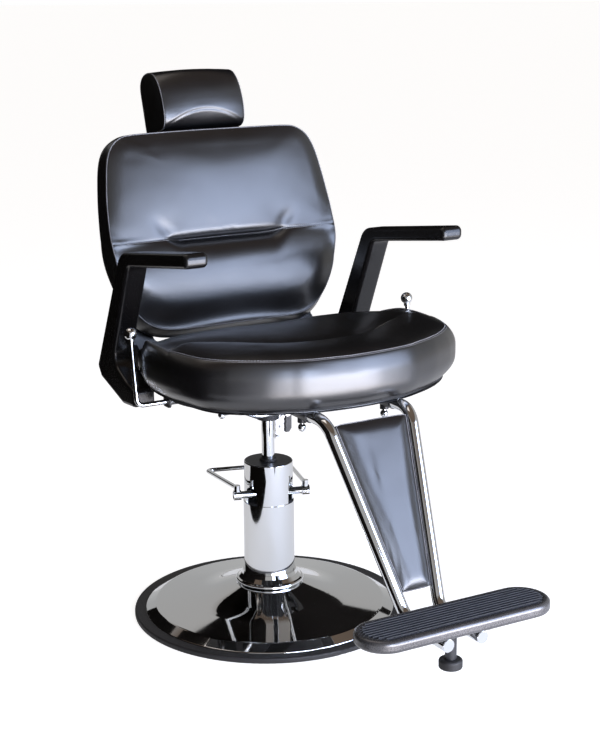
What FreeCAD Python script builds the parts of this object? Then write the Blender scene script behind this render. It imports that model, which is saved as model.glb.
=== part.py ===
import FreeCAD, Part
import Sketcher
import math
import os

# Hydraulic barber chair, in millimetres, +Z up.
# The origin is the middle of the round base, on the floor.
# The seat faces -Y, and the sitter's left side is +X.

doc = FreeCAD.newDocument("barber_chair")
sheet = doc.addObject("Spreadsheet::Sheet", "Sizes")

# Driving sizes: alias, value, what it is. Lengths in mm, angles in degrees.
driving_sizes = [
    ("clearance", 0.3, "gap beside soft parts and between pieces that move past each other"),
    ("running_fit", 0.05, "radial gap of a pin or rod in its hole"),
    # round base
    ("base_radius", 300, "outer radius of the rubber floor ring"),
    ("ring_height", 13, "height of the rubber ring"),
    ("ring_lip", 24.5, "width of rubber outside the chrome plate"),
    ("ring_ledge", 20, "width of the ledge that carries the plate and the ballast"),
    ("ring_floor", 5, "thickness of that ledge"),
    ("plate_rim_height", 14, "height of the chrome plate's upright rim"),
    ("plate_wall", 2, "sheet thickness of the chrome plate"),
    ("bevel_width", 24, "width of the bevel behind the rim"),
    ("bevel_rise", 12, "rise of the bevel"),
    ("dish_height", 68, "height of the plate at the collar"),
    ("dish_mid_radius", 150, "radius where the dish starts to steepen"),
    ("dish_mid_height", 41, "height of the dish there"),
    ("ballast_height", 17, "thickness of the cast disc inside the ring"),
    # column
    ("column_radius", 55.5, "outer radius of the lower column tube"),
    ("column_wall", 3, "wall of the column tube"),
    ("column_drop", 25, "top of the lower column tube below the pump shaft"),
    ("collar_radius", 75, "largest radius of the collar at the column's foot"),
    ("collar_height", 28, "height of the collar"),
    ("sleeve_radius", 53.5, "outer radius of the upper sleeve"),
    ("sleeve_wall", 2.5, "wall of the upper sleeve"),
    ("sleeve_rise", 66, "top of the sleeve and its cap above the pump shaft"),
    ("cap_height", 5, "thickness of the column cap"),
    ("notch_half", 14, "half width of the sleeve's notch round the pump shaft"),
    # pump
    ("pump_turn", 16, "turn of the pump against the seat, seen from above"),
    ("shaft_height", 280, "height of the pump shaft"),
    ("shaft_offset", 27, "distance of the pump shaft in front of the column's axis"),
    ("shaft_radius", 8, "radius of the pump shaft"),
    ("shaft_half", 83, "half length of the pump shaft"),
    ("clamp_radius", 11, "outer radius of the shaft's clamp rings"),
    ("clamp_length", 16, "length of a clamp ring"),
    ("loop_rod", 5, "radius of the pump loop's rod"),
    ("loop_reach", 212, "distance from the column's axis to the loop's bar"),
    ("loop_half", 97, "half length of the loop's bar"),
    ("loop_end_half", 76, "half distance between the loop's ends"),
    ("loop_drop", 32, "fall of the loop from its ends to its bar"),
    ("loop_bend", 14, "bend radius of the loop"),
    ("cylinder_radius", 17, "outer radius of the pump's pressure cylinder"),
    ("reservoir_radius", 42, "outer radius of the oil reservoir"),
    ("reservoir_wall", 4, "wall of the oil reservoir"),
    ("pump_foot", 12, "thickness of the pump's foot flange"),
    ("pump_head_height", 20, "thickness of the pump's head"),
    ("pump_head_gap", 14, "gap from the pump's head up to the shaft's underside"),
    ("plunger_radius", 5, "radius of the pump plunger"),
    ("plunger_reach", 11, "distance of the plunger in front of the shaft"),
    ("plunger_length", 20, "length of the plunger"),
    # piston and hub
    ("piston_radius", 14, "radius of the chrome piston"),
    ("piston_bottom", 95, "lower end of the piston as shown"),
    ("hub_bottom", 440, "underside of the swivel hub as shown"),
    ("hub_radius", 24, "outer radius of the swivel hub"),
    ("hub_height", 64, "height of the hub with its flange"),
    ("hub_flange", 60, "radius of the hub's flange"),
    ("hub_flange_height", 6, "thickness of the hub's flange"),
    ("hub_bore_depth", 36, "depth of the hub's lower bore"),
    ("spigot_radius", 11, "radius of the piston's upper spigot"),
    ("gusset_inset", 10, "outer end of a side gusset inside the seat plate's edge"),
    ("gusset_edge", 10, "height of a gusset's outer end"),
    ("gusset_wall", 5, "thickness of a gusset"),
    # seat frame
    ("seat_plate_gap", 14, "gap between the seat plate and the recline lock"),
    ("seat_plate_half_y", 125, "half depth of the seat plate"),
    ("seat_plate_wall", 5, "thickness of the seat plate"),
    ("board_bottom", 560, "underside of the seat board"),
    ("board_wall", 10, "thickness of the seat board"),
    ("rail_height", 20, "height of the frame's bars"),
    ("rail_width", 25, "width of the frame's bars"),
    ("rail_inset", 112, "distance of a side rail inside the seat's widest place"),
    ("rail_front", 220, "reach of the side rails to the front"),
    ("rail_back", 140, "reach of the side rails to the rear"),
    ("front_bar_y", 90, "front cross bar, in front of the column"),
    ("rear_bar_y", 95, "rear cross bar, behind the column"),
    # seat cushion
    ("seat_half_width", 312, "half width of the seat at its widest"),
    ("seat_front", 388, "reach of the seat to the front"),
    ("seat_back", 116, "reach of the seat to the rear"),
    ("seat_step", 48, "how much narrower the seat is between the arms, on each side"),
    ("seat_thickness", 100, "height of the seat cushion at the front"),
    ("seat_rear_thickness", 38, "height of the seat cushion at the rear edge"),
    ("board_inset", 8, "how far the seat board stays inside the cushion"),
    # arms
    ("arm_gap", 4, "gap between an arm and the seat cushion"),
    ("arm_width", 50, "width of an arm"),
    ("arm_top", 871, "top of the arm pad at its tip"),
    ("arm_tip", 266, "reach of the arm pad to the front"),
    ("arm_pad", 30, "thickness of the arm pad"),
    ("arm_slope", 42, "fall of the arm pad from its tip to its rear"),
    ("arm_foot", 506, "underside of the arm's foot"),
    ("arm_edge", 9, "rounding of the arm's edges"),
    ("arm_bracket_wall", 5, "thickness of the arm bracket"),
    # back rest
    ("pivot_y", 150, "back rest pivot, behind the column"),
    ("pivot_z", 548, "height of the back rest pivot"),
    ("back_lean", 17, "lean of the back rest from upright"),
    ("pivot_bolt", 5, "radius of the back rest's pivot bolts"),
    ("back_bottom", 64, "lower edge of the back cushion above the pivot"),
    ("back_top", 499, "upper edge of the back cushion above the pivot"),
    ("back_low_inset", 80, "lower edge of the back cushion inside the seat's widest place"),
    ("back_wide_inset", 35, "widest place of the back cushion inside that of the seat"),
    ("back_wide_at", 242, "height of the widest place above the pivot"),
    ("back_top_inset", 66, "top of the back cushion inside the seat's widest place"),
    ("back_front", 50, "front seam of the back cushion ahead of the pivot plane"),
    ("back_crown", 12, "how far the back cushion's face stands ahead of its seam"),
    ("back_rear", 6, "rear of the back cushion behind the pivot plane"),
    ("back_board_wall", 12, "thickness of the back board"),
    ("back_bar_wall", 6, "thickness of the back frame's flat bars"),
    ("back_bar_width", 40, "width of the back frame's flat bars"),
    ("back_ear_gap", 0.5, "gap between a pivot lug and the back frame's ear"),
    ("back_ear_wall", 8, "thickness of the pivot ears"),
    # head rest
    ("head_gap", 11, "gap from the back cushion up to the head rest"),
    ("head_height", 137, "height of the head rest"),
    ("head_half_width", 98, "half width of the head rest"),
    ("head_front", 41, "front of the head rest ahead of the pivot plane"),
    ("head_rear", 67, "rear of the head rest behind the pivot plane"),
    ("head_bar_width", 40, "width of the head rest's flat bar"),
    ("head_bar_wall", 8, "thickness of the head rest's flat bar"),
    ("head_bar_drop", 180, "length of the bar below the head rest"),
    # recline lock
    ("lock_inset", 25, "recline lock inside the left side rail"),
    ("lock_z", 500, "height of the recline lock"),
    ("lock_arm", 50, "distance from the back rest pivot to the lock's pin"),
    ("lock_half_swing", 22.5, "half of the back rest's swing"),
    ("lock_radius", 11, "outer radius of the lock's cylinder"),
    ("lock_length", 152, "length of the lock's cylinder"),
    ("lock_front", 52, "front end of the lock's cylinder, ahead of the column"),
    ("lock_rod", 5, "radius of the lock's rod"),
    # recline lever
    ("lever_y", 59, "recline lever rod, in front of the column"),
    ("lever_z", 530, "height of the recline lever rod"),
    ("lever_gap", 16, "gap between the seat cushion and a lever handle"),
    ("lever_rod", 5, "radius of the lever rod"),
    ("lever_height", 147, "length of a lever handle"),
    ("lever_lean", 8.4, "lean of the handles to the rear"),
    ("lever_bend", 14, "bend radius of the lever"),
    ("lever_ball", 12.8, "radius of the ball knobs"),
    ("lever_bracket_inset", 48, "distance of the lever's hangers inside the seat's edge"),
    ("lever_bracket_width", 36, "width of a hanger"),
    # swivel brake
    ("brake_reach", 127, "reach of the brake lever to the sitter's right"),
    ("brake_y", 30, "brake lever, in front of the column"),
    ("brake_rod", 4, "radius of the brake lever's rod"),
    ("brake_ball", 8, "radius of the brake lever's ball end"),
    # leg rest
    ("leg_x", 96, "distance of a leg tube from the middle, at the seat"),
    ("leg_z", 545, "height of the leg tubes under the seat"),
    ("leg_tube", 12.5, "radius of the leg tubes"),
    ("leg_wall", 2, "wall of the leg tubes"),
    ("leg_inner_end", 170, "inner end of a leg tube, ahead of the column"),
    ("leg_knee", 408, "corner of the leg tubes at the seat, ahead of the column"),
    ("leg_ankle", 603, "corner of the leg tubes at the foot rest"),
    ("leg_foot_x", 38, "distance of a leg tube from the middle, at the foot rest"),
    ("leg_foot_z", 197, "height of the leg tubes under the foot rest"),
    ("leg_toe_length", 135, "length of a leg tube beyond its lower corner"),
    ("leg_bend", 52, "bend radius of the leg tubes"),
    ("socket_wall", 2.4, "wall of the leg sockets"),
    ("socket_front", 350, "front end of the leg sockets"),
    ("socket_back", 150, "rear end of the leg sockets"),
    ("screw_y", 314, "clamp screws, in front of the column"),
    ("screw_radius", 4, "radius of a clamp screw"),
    ("screw_ball", 8.3, "radius of a clamp screw's ball"),
    ("screw_drop", 20, "length of a clamp screw below the leg tube"),
    # calf pad
    ("calf_gap", 1.2, "gap between the calf pad and the leg tubes"),
    ("calf_start", 8, "top of the calf pad below the leg tubes' upper corner"),
    ("calf_end", 53, "foot of the calf pad above the leg tubes' lower corner"),
    ("calf_pad", 15, "thickness of the calf pad"),
    ("calf_board", 6, "thickness of the calf board"),
    # foot rest
    ("foot_half", 208, "half length of the foot rest"),
    ("foot_reach", 97, "middle of the foot rest, ahead of the leg tubes' lower corner"),
    ("foot_depth", 112, "depth of the foot rest"),
    ("foot_height", 24, "thickness of the foot rest"),
    ("foot_plate_wall", 6, "thickness of the plate under the foot rest"),
    ("tread_inset", 12, "rim of the foot rest round its tread"),
    ("tread_depth", 3, "depth of the tread's recess"),
    ("tread_pitch", 9, "distance between the tread's ribs"),
    ("tread_rib", 4.4, "width of a tread rib"),
    ("peg_radius", 11, "radius of the stop peg"),
    ("bumper_radius", 22.5, "radius of the rubber bumper"),
    ("bumper_height", 19, "height of the rubber bumper"),
    ("bumper_bottom", 128, "underside of the rubber bumper"),
]

for row, (alias, value, note) in enumerate(driving_sizes, start=1):
    sheet.set("A%d" % row, alias)
    sheet.set("B%d" % row, "%g" % value)
    sheet.set("C%d" % row, note)
    sheet.setAlias("B%d" % row, alias)
doc.recompute()


class Size:
    # A number and the sheet formula that gives it, so that each size is written once.
    def __init__(self, value, formula):
        self.value = float(value)
        self.formula = formula

    def combine(self, other, value, sign):
        return Size(value, "(%s %s %s)" % (self.formula, sign, other.formula))

    def __add__(self, other):
        other = as_size(other)
        return self.combine(other, self.value + other.value, "+")

    def __sub__(self, other):
        other = as_size(other)
        return self.combine(other, self.value - other.value, "-")

    def __mul__(self, other):
        other = as_size(other)
        return self.combine(other, self.value * other.value, "*")

    def __truediv__(self, other):
        other = as_size(other)
        return self.combine(other, self.value / other.value, "/")

    def __radd__(self, other):
        return as_size(other) + self

    def __rsub__(self, other):
        return as_size(other) - self

    def __rmul__(self, other):
        return as_size(other) * self

    def __neg__(self):
        return Size(-self.value, "(-1 * %s)" % self.formula)


def as_size(number):
    if isinstance(number, Size):
        return number
    return Size(number, "(%.9g)" % number)


def number(amount):
    return as_size(amount).value


def sine(angle):
    return Size(math.sin(math.radians(number(angle))), "sin(%s * 1 deg)" % as_size(angle).formula)


def cosine(angle):
    return Size(math.cos(math.radians(number(angle))), "cos(%s * 1 deg)" % as_size(angle).formula)


def root(amount):
    return Size(math.sqrt(number(amount)), "sqrt(%s)" % as_size(amount).formula)


class Sizes:
    # Every alias of the sheet as an attribute.
    def __init__(self):
        for alias, value, note in driving_sizes:
            setattr(self, alias, Size(sheet.get(alias), "Sizes." + alias))


s = Sizes()

x_axis = FreeCAD.Vector(1, 0, 0)
y_axis = FreeCAD.Vector(0, 1, 0)
z_axis = FreeCAD.Vector(0, 0, 1)
no_turn = FreeCAD.Rotation()
pump_rotation = FreeCAD.Rotation(z_axis, -number(s.pump_turn))
back_rotation = FreeCAD.Rotation(x_axis, -number(s.back_lean))
along_y = FreeCAD.Rotation(x_axis, -90)

sub_parts = []


# Setting sizes and places

def bind(thing, name, amount):
    setattr(thing, name, number(amount))
    thing.setExpression(name, as_size(amount).formula)


def place(thing, at, rotation=no_turn):
    thing.Placement = FreeCAD.Placement(FreeCAD.Vector(*[number(a) for a in at]), rotation)
    for letter, amount in zip("xyz", at):
        if isinstance(amount, Size):
            thing.setExpression("Placement.Base." + letter, amount.formula)


def finished(thing, label):
    thing.Label = label
    sub_parts.append(thing)
    return thing


# Sketches and features of a body

def new_body(name, at=(0, 0, 0), rotation=no_turn):
    body = doc.addObject("PartDesign::Body", name + "_body")
    place(body, at, rotation)
    return body


def new_sketch(body, plane, offset=0):
    sketch = body.newObject("Sketcher::SketchObject", "sketch")
    support = [one for one in body.Origin.OriginFeatures if one.Role == plane][0]
    sketch.AttachmentSupport = [(support, "")]
    sketch.MapMode = "FlatFace"
    sketch.AttachmentOffset = FreeCAD.Placement(FreeCAD.Vector(0, 0, number(offset)), no_turn)
    if isinstance(offset, Size):
        sketch.setExpression("AttachmentOffset.Base.z", offset.formula)
    return sketch


def dimension(sketch, kind, amount, geometry, point=None):
    if point is None:
        made = Sketcher.Constraint(kind, geometry, number(amount))
    else:
        made = Sketcher.Constraint(kind, -1, 1, geometry, point, number(amount))
    index = sketch.addConstraint(made)
    if isinstance(amount, Size):
        sketch.setExpression("Constraints[%d]" % index, amount.formula)


def draw_lines(sketch, corners, closed=True):
    # Straight sides between the corners, and a tangent arc at each corner that has a radius.
    points = [FreeCAD.Vector(number(c[0]), number(c[1]), 0) for c in corners]
    count = len(points)
    sides = count if closed else count - 1
    first = sketch.GeometryCount
    for i in range(sides):
        sketch.addGeometry(Part.LineSegment(points[i], points[(i + 1) % count]), False)
    for i in range(sides if closed else sides - 1):
        following = (i + 1) % sides
        sketch.addConstraint(Sketcher.Constraint("Coincident", first + i, 2, first + following, 1))
    for i, corner in enumerate(corners):
        on_side = min(i, sides - 1)
        end = 1 if i < sides else 2
        dimension(sketch, "DistanceX", corner[0], first + on_side, end)
        dimension(sketch, "DistanceY", corner[1], first + on_side, end)
    for i, corner in enumerate(corners):
        if len(corner) < 3 or (not closed and i in (0, count - 1)):
            continue
        before = first + (i - 1) % sides
        after = first + i
        near_before = points[i] + (points[i - 1] - points[i]) * 0.01
        near_after = points[i] + (points[(i + 1) % count] - points[i]) * 0.01
        sketch.fillet(before, after, near_before, near_after, number(corner[2]), True, True)
        dimension(sketch, "Radius", corner[2], sketch.GeometryCount - 2)
    return sketch


def draw_circle(sketch, x, y, radius):
    centre = FreeCAD.Vector(number(x), number(y), 0)
    index = sketch.addGeometry(Part.Circle(centre, z_axis, number(radius)), False)
    dimension(sketch, "DistanceX", x, index, 3)
    dimension(sketch, "DistanceY", y, index, 3)
    dimension(sketch, "Radius", radius, index)
    return sketch


def pad(body, sketch, length, both_ways=False, reverse=False):
    feature = body.newObject("PartDesign::Pad", "pad")
    feature.Profile = sketch
    bind(feature, "Length", length)
    feature.Midplane = both_ways
    feature.Reversed = reverse
    return feature


def cut_through(body, sketch, length, both_ways=True, reverse=False):
    doc.recompute()
    before = body.Shape.Volume
    feature = body.newObject("PartDesign::Pocket", "pocket")
    feature.Profile = sketch
    bind(feature, "Length", length)
    feature.Midplane = both_ways
    feature.Reversed = reverse
    doc.recompute()
    if body.Shape.Volume > before - 0.01:
        raise RuntimeError("a pocket of %s cuts nothing" % body.Name)
    return feature


def turned(body, corners):
    # A solid of revolution round the body's own Z axis, from corners (radius, height).
    sketch = draw_lines(new_sketch(body, "XZ_Plane"), corners)
    feature = body.newObject("PartDesign::Revolution", "revolution")
    feature.Profile = sketch
    feature.ReferenceAxis = (sketch, ["V_Axis"])
    feature.Angle = 360
    return feature


def swept(body, path, section):
    feature = body.newObject("PartDesign::AdditivePipe", "pipe")
    doc.recompute()
    feature.Profile = section
    feature.Spine = (path, ["Edge%d" % (n + 1) for n in range(len(path.Shape.Edges))])
    return feature


def round_edges(body, base, radius, wanted):
    # Rounds the base feature's edges for which wanted(edge) holds.
    doc.recompute()
    names = ["Edge%d" % (n + 1) for n, edge in enumerate(base.Shape.Edges) if wanted(edge)]
    feature = body.newObject("PartDesign::Fillet", "rounding")
    feature.Base = (base, names)
    bind(feature, "Radius", radius)
    return feature


def flat_at(direction, *levels):
    # True for an edge that lies in one of the planes at these levels along a direction.
    def wanted(edge):
        ends = [point.dot(direction) for point in edge.discretize(5)]
        return any(max(abs(end - number(level)) for end in ends) < 0.01 for level in levels)
    return wanted


# Plain solids

def cylinder(name, radius, length, at, rotation=no_turn):
    made = doc.addObject("Part::Cylinder", name)
    bind(made, "Radius", radius)
    bind(made, "Height", length)
    place(made, at, rotation)
    return made


def box(name, size, at, rotation=no_turn):
    made = doc.addObject("Part::Box", name)
    for side, amount in zip(("Length", "Width", "Height"), size):
        bind(made, side, amount)
    place(made, at, rotation)
    return made


def ball(name, radius, at):
    # The poles point along Y, away from the upright rods that enter the balls.
    made = doc.addObject("Part::Sphere", name)
    bind(made, "Radius", radius)
    place(made, at, along_y)
    return made


def hexagon_head(name, radius, length, at, rotation=no_turn):
    made = doc.addObject("Part::Prism", name)
    made.Polygon = 6
    bind(made, "Circumradius", radius)
    bind(made, "Height", length)
    place(made, at, rotation)
    return made


def joined(name, pieces):
    made = doc.addObject("Part::MultiFuse", name + "_joined")
    made.Shapes = pieces
    return made


def without(name, base, tool):
    made = doc.addObject("Part::Cut", name + "_cut")
    made.Base = base
    made.Tool = tool
    return made


def shared(name, one, other):
    made = doc.addObject("Part::Common", name + "_common")
    made.Base = one
    made.Tool = other
    return made


def group(name, pieces):
    made = doc.addObject("Part::Compound", name + "_group")
    made.Links = pieces
    return made


# Round base

column_top = s.shaft_height - s.column_drop
sleeve_top = s.shaft_height + s.sleeve_rise
plate_radius = s.base_radius - s.ring_lip
ledge_radius = plate_radius - s.ring_ledge
ballast_top = s.ballast_height


def make_floor_ring():
    body = new_body("floor_ring")
    edge = 4
    turned(body, [
        (ledge_radius, 0),
        (s.base_radius, 0, edge),
        (s.base_radius, s.ring_height, edge),
        (plate_radius, s.ring_height),
        (plate_radius, s.ring_floor),
        (ledge_radius, s.ring_floor),
    ])
    finished(body, "floor_ring")


def make_base_plate():
    body = new_body("base_plate")
    inner = s.column_radius + s.clearance
    bevel_inner = plate_radius - s.bevel_width
    bevel_top = s.plate_rim_height + s.bevel_rise
    turned(body, [
        (plate_radius, s.ring_floor),
        (plate_radius, s.plate_rim_height, 3),
        (bevel_inner, bevel_top, 14),
        (s.dish_mid_radius, s.dish_mid_height, s.dish_mid_radius * 1.73),
        (s.collar_radius, s.dish_height),
        (inner, s.dish_height),
        (inner, s.dish_height - s.plate_wall),
        (s.collar_radius, s.dish_height - s.plate_wall),
        (s.dish_mid_radius, s.dish_mid_height - s.plate_wall, s.dish_mid_radius * 1.73),
        (bevel_inner, bevel_top - s.plate_wall, 14),
        (plate_radius - s.plate_wall, s.plate_rim_height - s.plate_wall),
        (plate_radius - s.plate_wall, s.ring_floor),
    ])
    finished(body, "base_plate")


def make_ballast():
    body = new_body("ballast")
    sketch = new_sketch(body, "XY_Plane")
    draw_circle(sketch, 0, 0, ledge_radius - s.clearance)
    disc = pad(body, sketch, s.ballast_height)
    round_edges(body, disc, 4, flat_at(z_axis, ballast_top))
    finished(body, "ballast")


def make_column_tube():
    body = new_body("column_tube")
    inner = s.column_radius - s.column_wall
    turned(body, [
        (inner, ballast_top),
        (s.column_radius, ballast_top),
        (s.column_radius, column_top),
        (inner, column_top),
    ])
    finished(body, "column_tube")


def make_base_collar():
    body = new_body("base_collar")
    inner = s.column_radius
    foot = s.dish_height
    turned(body, [
        (inner, foot),
        (s.collar_radius - 9, foot),
        (s.collar_radius, foot + 5, 4),
        (s.collar_radius, foot + 10, 4),
        (s.collar_radius - 6, foot + 13, 2),
        (s.column_radius + 6, foot + s.collar_height * 0.75),
        (s.column_radius + 3, foot + s.collar_height),
        (inner, foot + s.collar_height),
    ])
    finished(body, "base_collar")


def make_column_sleeve():
    body = new_body("column_sleeve", (0, 0, 0), pump_rotation)
    inner = s.sleeve_radius - s.sleeve_wall
    turned(body, [
        (inner, column_top),
        (s.sleeve_radius, column_top),
        (s.sleeve_radius, sleeve_top, 2),
        (inner, sleeve_top),
    ])
    notch = new_sketch(body, "YZ_Plane")
    low = column_top - 1
    high = s.shaft_height + s.notch_half
    corner = s.notch_half - 1
    draw_lines(notch, [
        (-s.shaft_offset - s.notch_half, low),
        (-s.shaft_offset + s.notch_half, low),
        (-s.shaft_offset + s.notch_half, high, corner),
        (-s.shaft_offset - s.notch_half, high, corner),
    ])
    cut_through(body, notch, s.sleeve_radius * 2 + 2)
    finished(body, "column_sleeve")


def make_column_cap():
    body = new_body("column_cap")
    outer = s.sleeve_radius - s.sleeve_wall
    inner = s.piston_radius + s.clearance
    turned(body, [
        (inner, sleeve_top - s.cap_height),
        (outer, sleeve_top - s.cap_height),
        (outer, sleeve_top),
        (inner, sleeve_top),
    ])
    finished(body, "column_cap")


def make_wiper_seal():
    body = new_body("wiper_seal")
    inner = s.piston_radius + s.running_fit
    turned(body, [
        (inner, sleeve_top),
        (inner + 5, sleeve_top),
        (inner + 3.5, sleeve_top + 4),
        (inner, sleeve_top + 4),
    ])
    finished(body, "wiper_seal")


# Pump inside the column, turned with the pump shaft

pump_foot_top = ballast_top + s.pump_foot
pump_head_top = s.shaft_height - s.shaft_radius - s.pump_head_gap
cylinder_top = sleeve_top - s.cap_height - s.clearance
plunger_y = -s.shaft_offset - s.plunger_reach
plunger_top = pump_head_top + 5


def make_pump_reservoir():
    body = new_body("pump_reservoir", (0, 0, 0), pump_rotation)
    outer = s.reservoir_radius
    inner = outer - s.reservoir_wall
    flange = s.column_radius - s.column_wall - s.clearance
    turned(body, [
        (0, ballast_top),
        (flange, ballast_top),
        (flange, pump_foot_top),
        (outer, pump_foot_top),
        (outer, pump_head_top - s.pump_head_height),
        (inner, pump_head_top - s.pump_head_height),
        (inner, pump_foot_top),
        (0, pump_foot_top),
    ])
    finished(body, "pump_reservoir")


def make_pump_cylinder():
    body = new_body("pump_cylinder")
    inner = s.piston_radius + s.running_fit
    turned(body, [
        (inner, pump_foot_top),
        (s.cylinder_radius, pump_foot_top),
        (s.cylinder_radius, cylinder_top),
        (inner, cylinder_top),
    ])
    finished(body, "pump_cylinder")


def make_pump_head():
    # A disc that closes the reservoir, with two ears that carry the pump shaft.
    body = new_body("pump_head", (0, 0, 0), pump_rotation)
    sketch = new_sketch(body, "XY_Plane", pump_head_top - s.pump_head_height)
    draw_circle(sketch, 0, 0, s.sleeve_radius - s.sleeve_wall - s.clearance)
    draw_circle(sketch, 0, 0, s.cylinder_radius + s.running_fit)
    draw_circle(sketch, 0, plunger_y, s.plunger_radius + s.running_fit)
    pad(body, sketch, s.pump_head_height)
    ear_wall = 8
    ear_half = 12
    for side in (-1, 1):
        ear = new_sketch(body, "YZ_Plane", side * (s.cylinder_radius + 9))
        draw_lines(ear, [
            (-s.shaft_offset - ear_half, pump_head_top - 1),
            (-s.shaft_offset + ear_half, pump_head_top - 1),
            (-s.shaft_offset + ear_half, s.shaft_height + ear_half, ear_half - 1),
            (-s.shaft_offset - ear_half, s.shaft_height + ear_half, ear_half - 1),
        ])
        draw_circle(ear, -s.shaft_offset, s.shaft_height, s.shaft_radius + s.running_fit)
        pad(body, ear, ear_wall, both_ways=True)
    finished(body, "pump_head")


# Pump lever

def make_pump_shaft():
    # The shaft with the finger that rests on the plunger.
    body = new_body("pump_shaft", (0, 0, 0), pump_rotation)
    sketch = draw_circle(new_sketch(body, "YZ_Plane"), -s.shaft_offset, s.shaft_height, s.shaft_radius)
    pad(body, sketch, s.shaft_half * 2, both_ways=True)
    finger = new_sketch(body, "YZ_Plane")
    draw_lines(finger, [
        (plunger_y - 4, plunger_top + s.clearance, 3),
        (plunger_y + 4, plunger_top + s.clearance, 3),
        (-s.shaft_offset, s.shaft_height - 2),
        (-s.shaft_offset, s.shaft_height + 4),
        (plunger_y - 4, s.shaft_height + 4, 4),
    ])
    pad(body, finger, s.plunger_radius * 2, both_ways=True)
    finished(body, "pump_shaft")


def make_shaft_clamps():
    clamps = []
    for side, word in ((-1, "left"), (1, "right")):
        body = new_body("shaft_clamp_" + word, (0, 0, 0), pump_rotation)
        middle = side * s.loop_end_half
        ring = new_sketch(body, "YZ_Plane", middle)
        draw_circle(ring, -s.shaft_offset, s.shaft_height, s.clamp_radius)
        draw_circle(ring, -s.shaft_offset, s.shaft_height, s.shaft_radius)
        pad(body, ring, s.clamp_length, both_ways=True)
        post = new_sketch(body, "XY_Plane", s.shaft_height + s.shaft_radius + 0.5)
        draw_circle(post, middle, -s.shaft_offset, s.loop_rod + 2)
        pad(body, post, s.loop_rod * 2 + 4)
        clamps.append(body)
    finished(group("shaft_clamps", clamps), "shaft_clamps")


def make_pump_loop():
    # A rod loop round the back of the column, one half and its mirror image.
    length = root((s.loop_reach + s.shaft_offset) * (s.loop_reach + s.shaft_offset)
                  + s.loop_drop * s.loop_drop)
    tilt = math.degrees(math.asin(number(s.loop_drop) / number(length)))
    start = s.shaft_height + s.shaft_radius + s.loop_rod + 3
    turn = pump_rotation.multiply(FreeCAD.Rotation(x_axis, -tilt))
    offset = pump_rotation.multVec(FreeCAD.Vector(0, -number(s.shaft_offset), 0))
    body = new_body("pump_loop", (offset.x, offset.y, start), turn)
    path = new_sketch(body, "XY_Plane")
    draw_lines(path, [
        (0, length),
        (s.loop_half, length, s.loop_bend),
        (s.loop_end_half, s.loop_rod + 3),
    ], closed=False)
    section = draw_circle(new_sketch(body, "YZ_Plane"), length, 0, s.loop_rod)
    half = swept(body, path, section)
    mirror = body.newObject("PartDesign::Mirrored", "mirror")
    mirror.Originals = [half]
    mirror.MirrorPlane = (section, ["N_Axis"])
    mirror.MirrorPlane = ([one for one in body.Origin.OriginFeatures if one.Role == "YZ_Plane"][0], [""])
    body.Tip = mirror
    finished(body, "pump_loop")


def make_plunger():
    start = pump_rotation.multVec(FreeCAD.Vector(0, number(plunger_y), 0))
    at = (start.x, start.y, plunger_top - s.plunger_length)
    finished(cylinder("plunger_rod", s.plunger_radius, s.plunger_length, at), "plunger")


# Piston and swivel hub

hub_top = s.hub_bottom + s.hub_height
shoulder = s.hub_bottom + s.hub_bore_depth - 4


def make_piston():
    body = new_body("piston")
    turned(body, [
        (0, s.piston_bottom),
        (s.piston_radius - 2, s.piston_bottom),
        (s.piston_radius, s.piston_bottom + 2),
        (s.piston_radius, shoulder),
        (s.spigot_radius, shoulder),
        (s.spigot_radius, hub_top + 1),
        (0, hub_top + 1),
    ])
    finished(body, "piston")


def make_thrust_washer():
    body = new_body("thrust_washer")
    inner = s.spigot_radius + s.running_fit
    outer = s.piston_radius
    turned(body, [
        (inner, shoulder),
        (outer, shoulder),
        (outer, shoulder + 4),
        (inner, shoulder + 4),
    ])
    finished(body, "thrust_washer")


def make_hub_nut():
    at = (0, 0, hub_top + 1)
    finished(hexagon_head("hub_nut_prism", s.spigot_radius + 5, 8, at), "hub_nut")


def make_swivel_hub():
    # A bored hub with a flange on top and three sloping gussets: two sideways, one to the rear.
    body = new_body("swivel_hub")
    bore = s.piston_radius + s.running_fit
    spigot_bore = s.spigot_radius + s.running_fit
    flange_bottom = hub_top - s.hub_flange_height
    turned(body, [
        (bore, s.hub_bottom),
        (s.hub_radius, s.hub_bottom),
        (s.hub_radius, flange_bottom),
        (s.hub_flange, flange_bottom),
        (s.hub_flange, hub_top),
        (spigot_bore, hub_top),
        (spigot_bore, shoulder + 4),
        (bore, shoulder + 4),
    ])
    inner = s.hub_radius - 2
    for side in (-1, 1):
        sketch = new_sketch(body, "XZ_Plane")
        draw_lines(sketch, [
            (side * inner, s.hub_bottom),
            (side * gusset_reach, hub_top - s.gusset_edge),
            (side * gusset_reach, hub_top),
            (side * inner, hub_top),
        ])
        pad(body, sketch, s.gusset_wall, both_ways=True)
    rear = new_sketch(body, "YZ_Plane")
    rear_reach = s.seat_plate_half_y - 5
    draw_lines(rear, [
        (inner, s.hub_bottom),
        (rear_reach, hub_top - s.gusset_edge),
        (rear_reach, hub_top),
        (inner, hub_top),
    ])
    pad(body, rear, s.gusset_wall, both_ways=True)
    finished(body, "swivel_hub")


# Seat frame, with the widths of the seat and the back that its parts hang from

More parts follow.
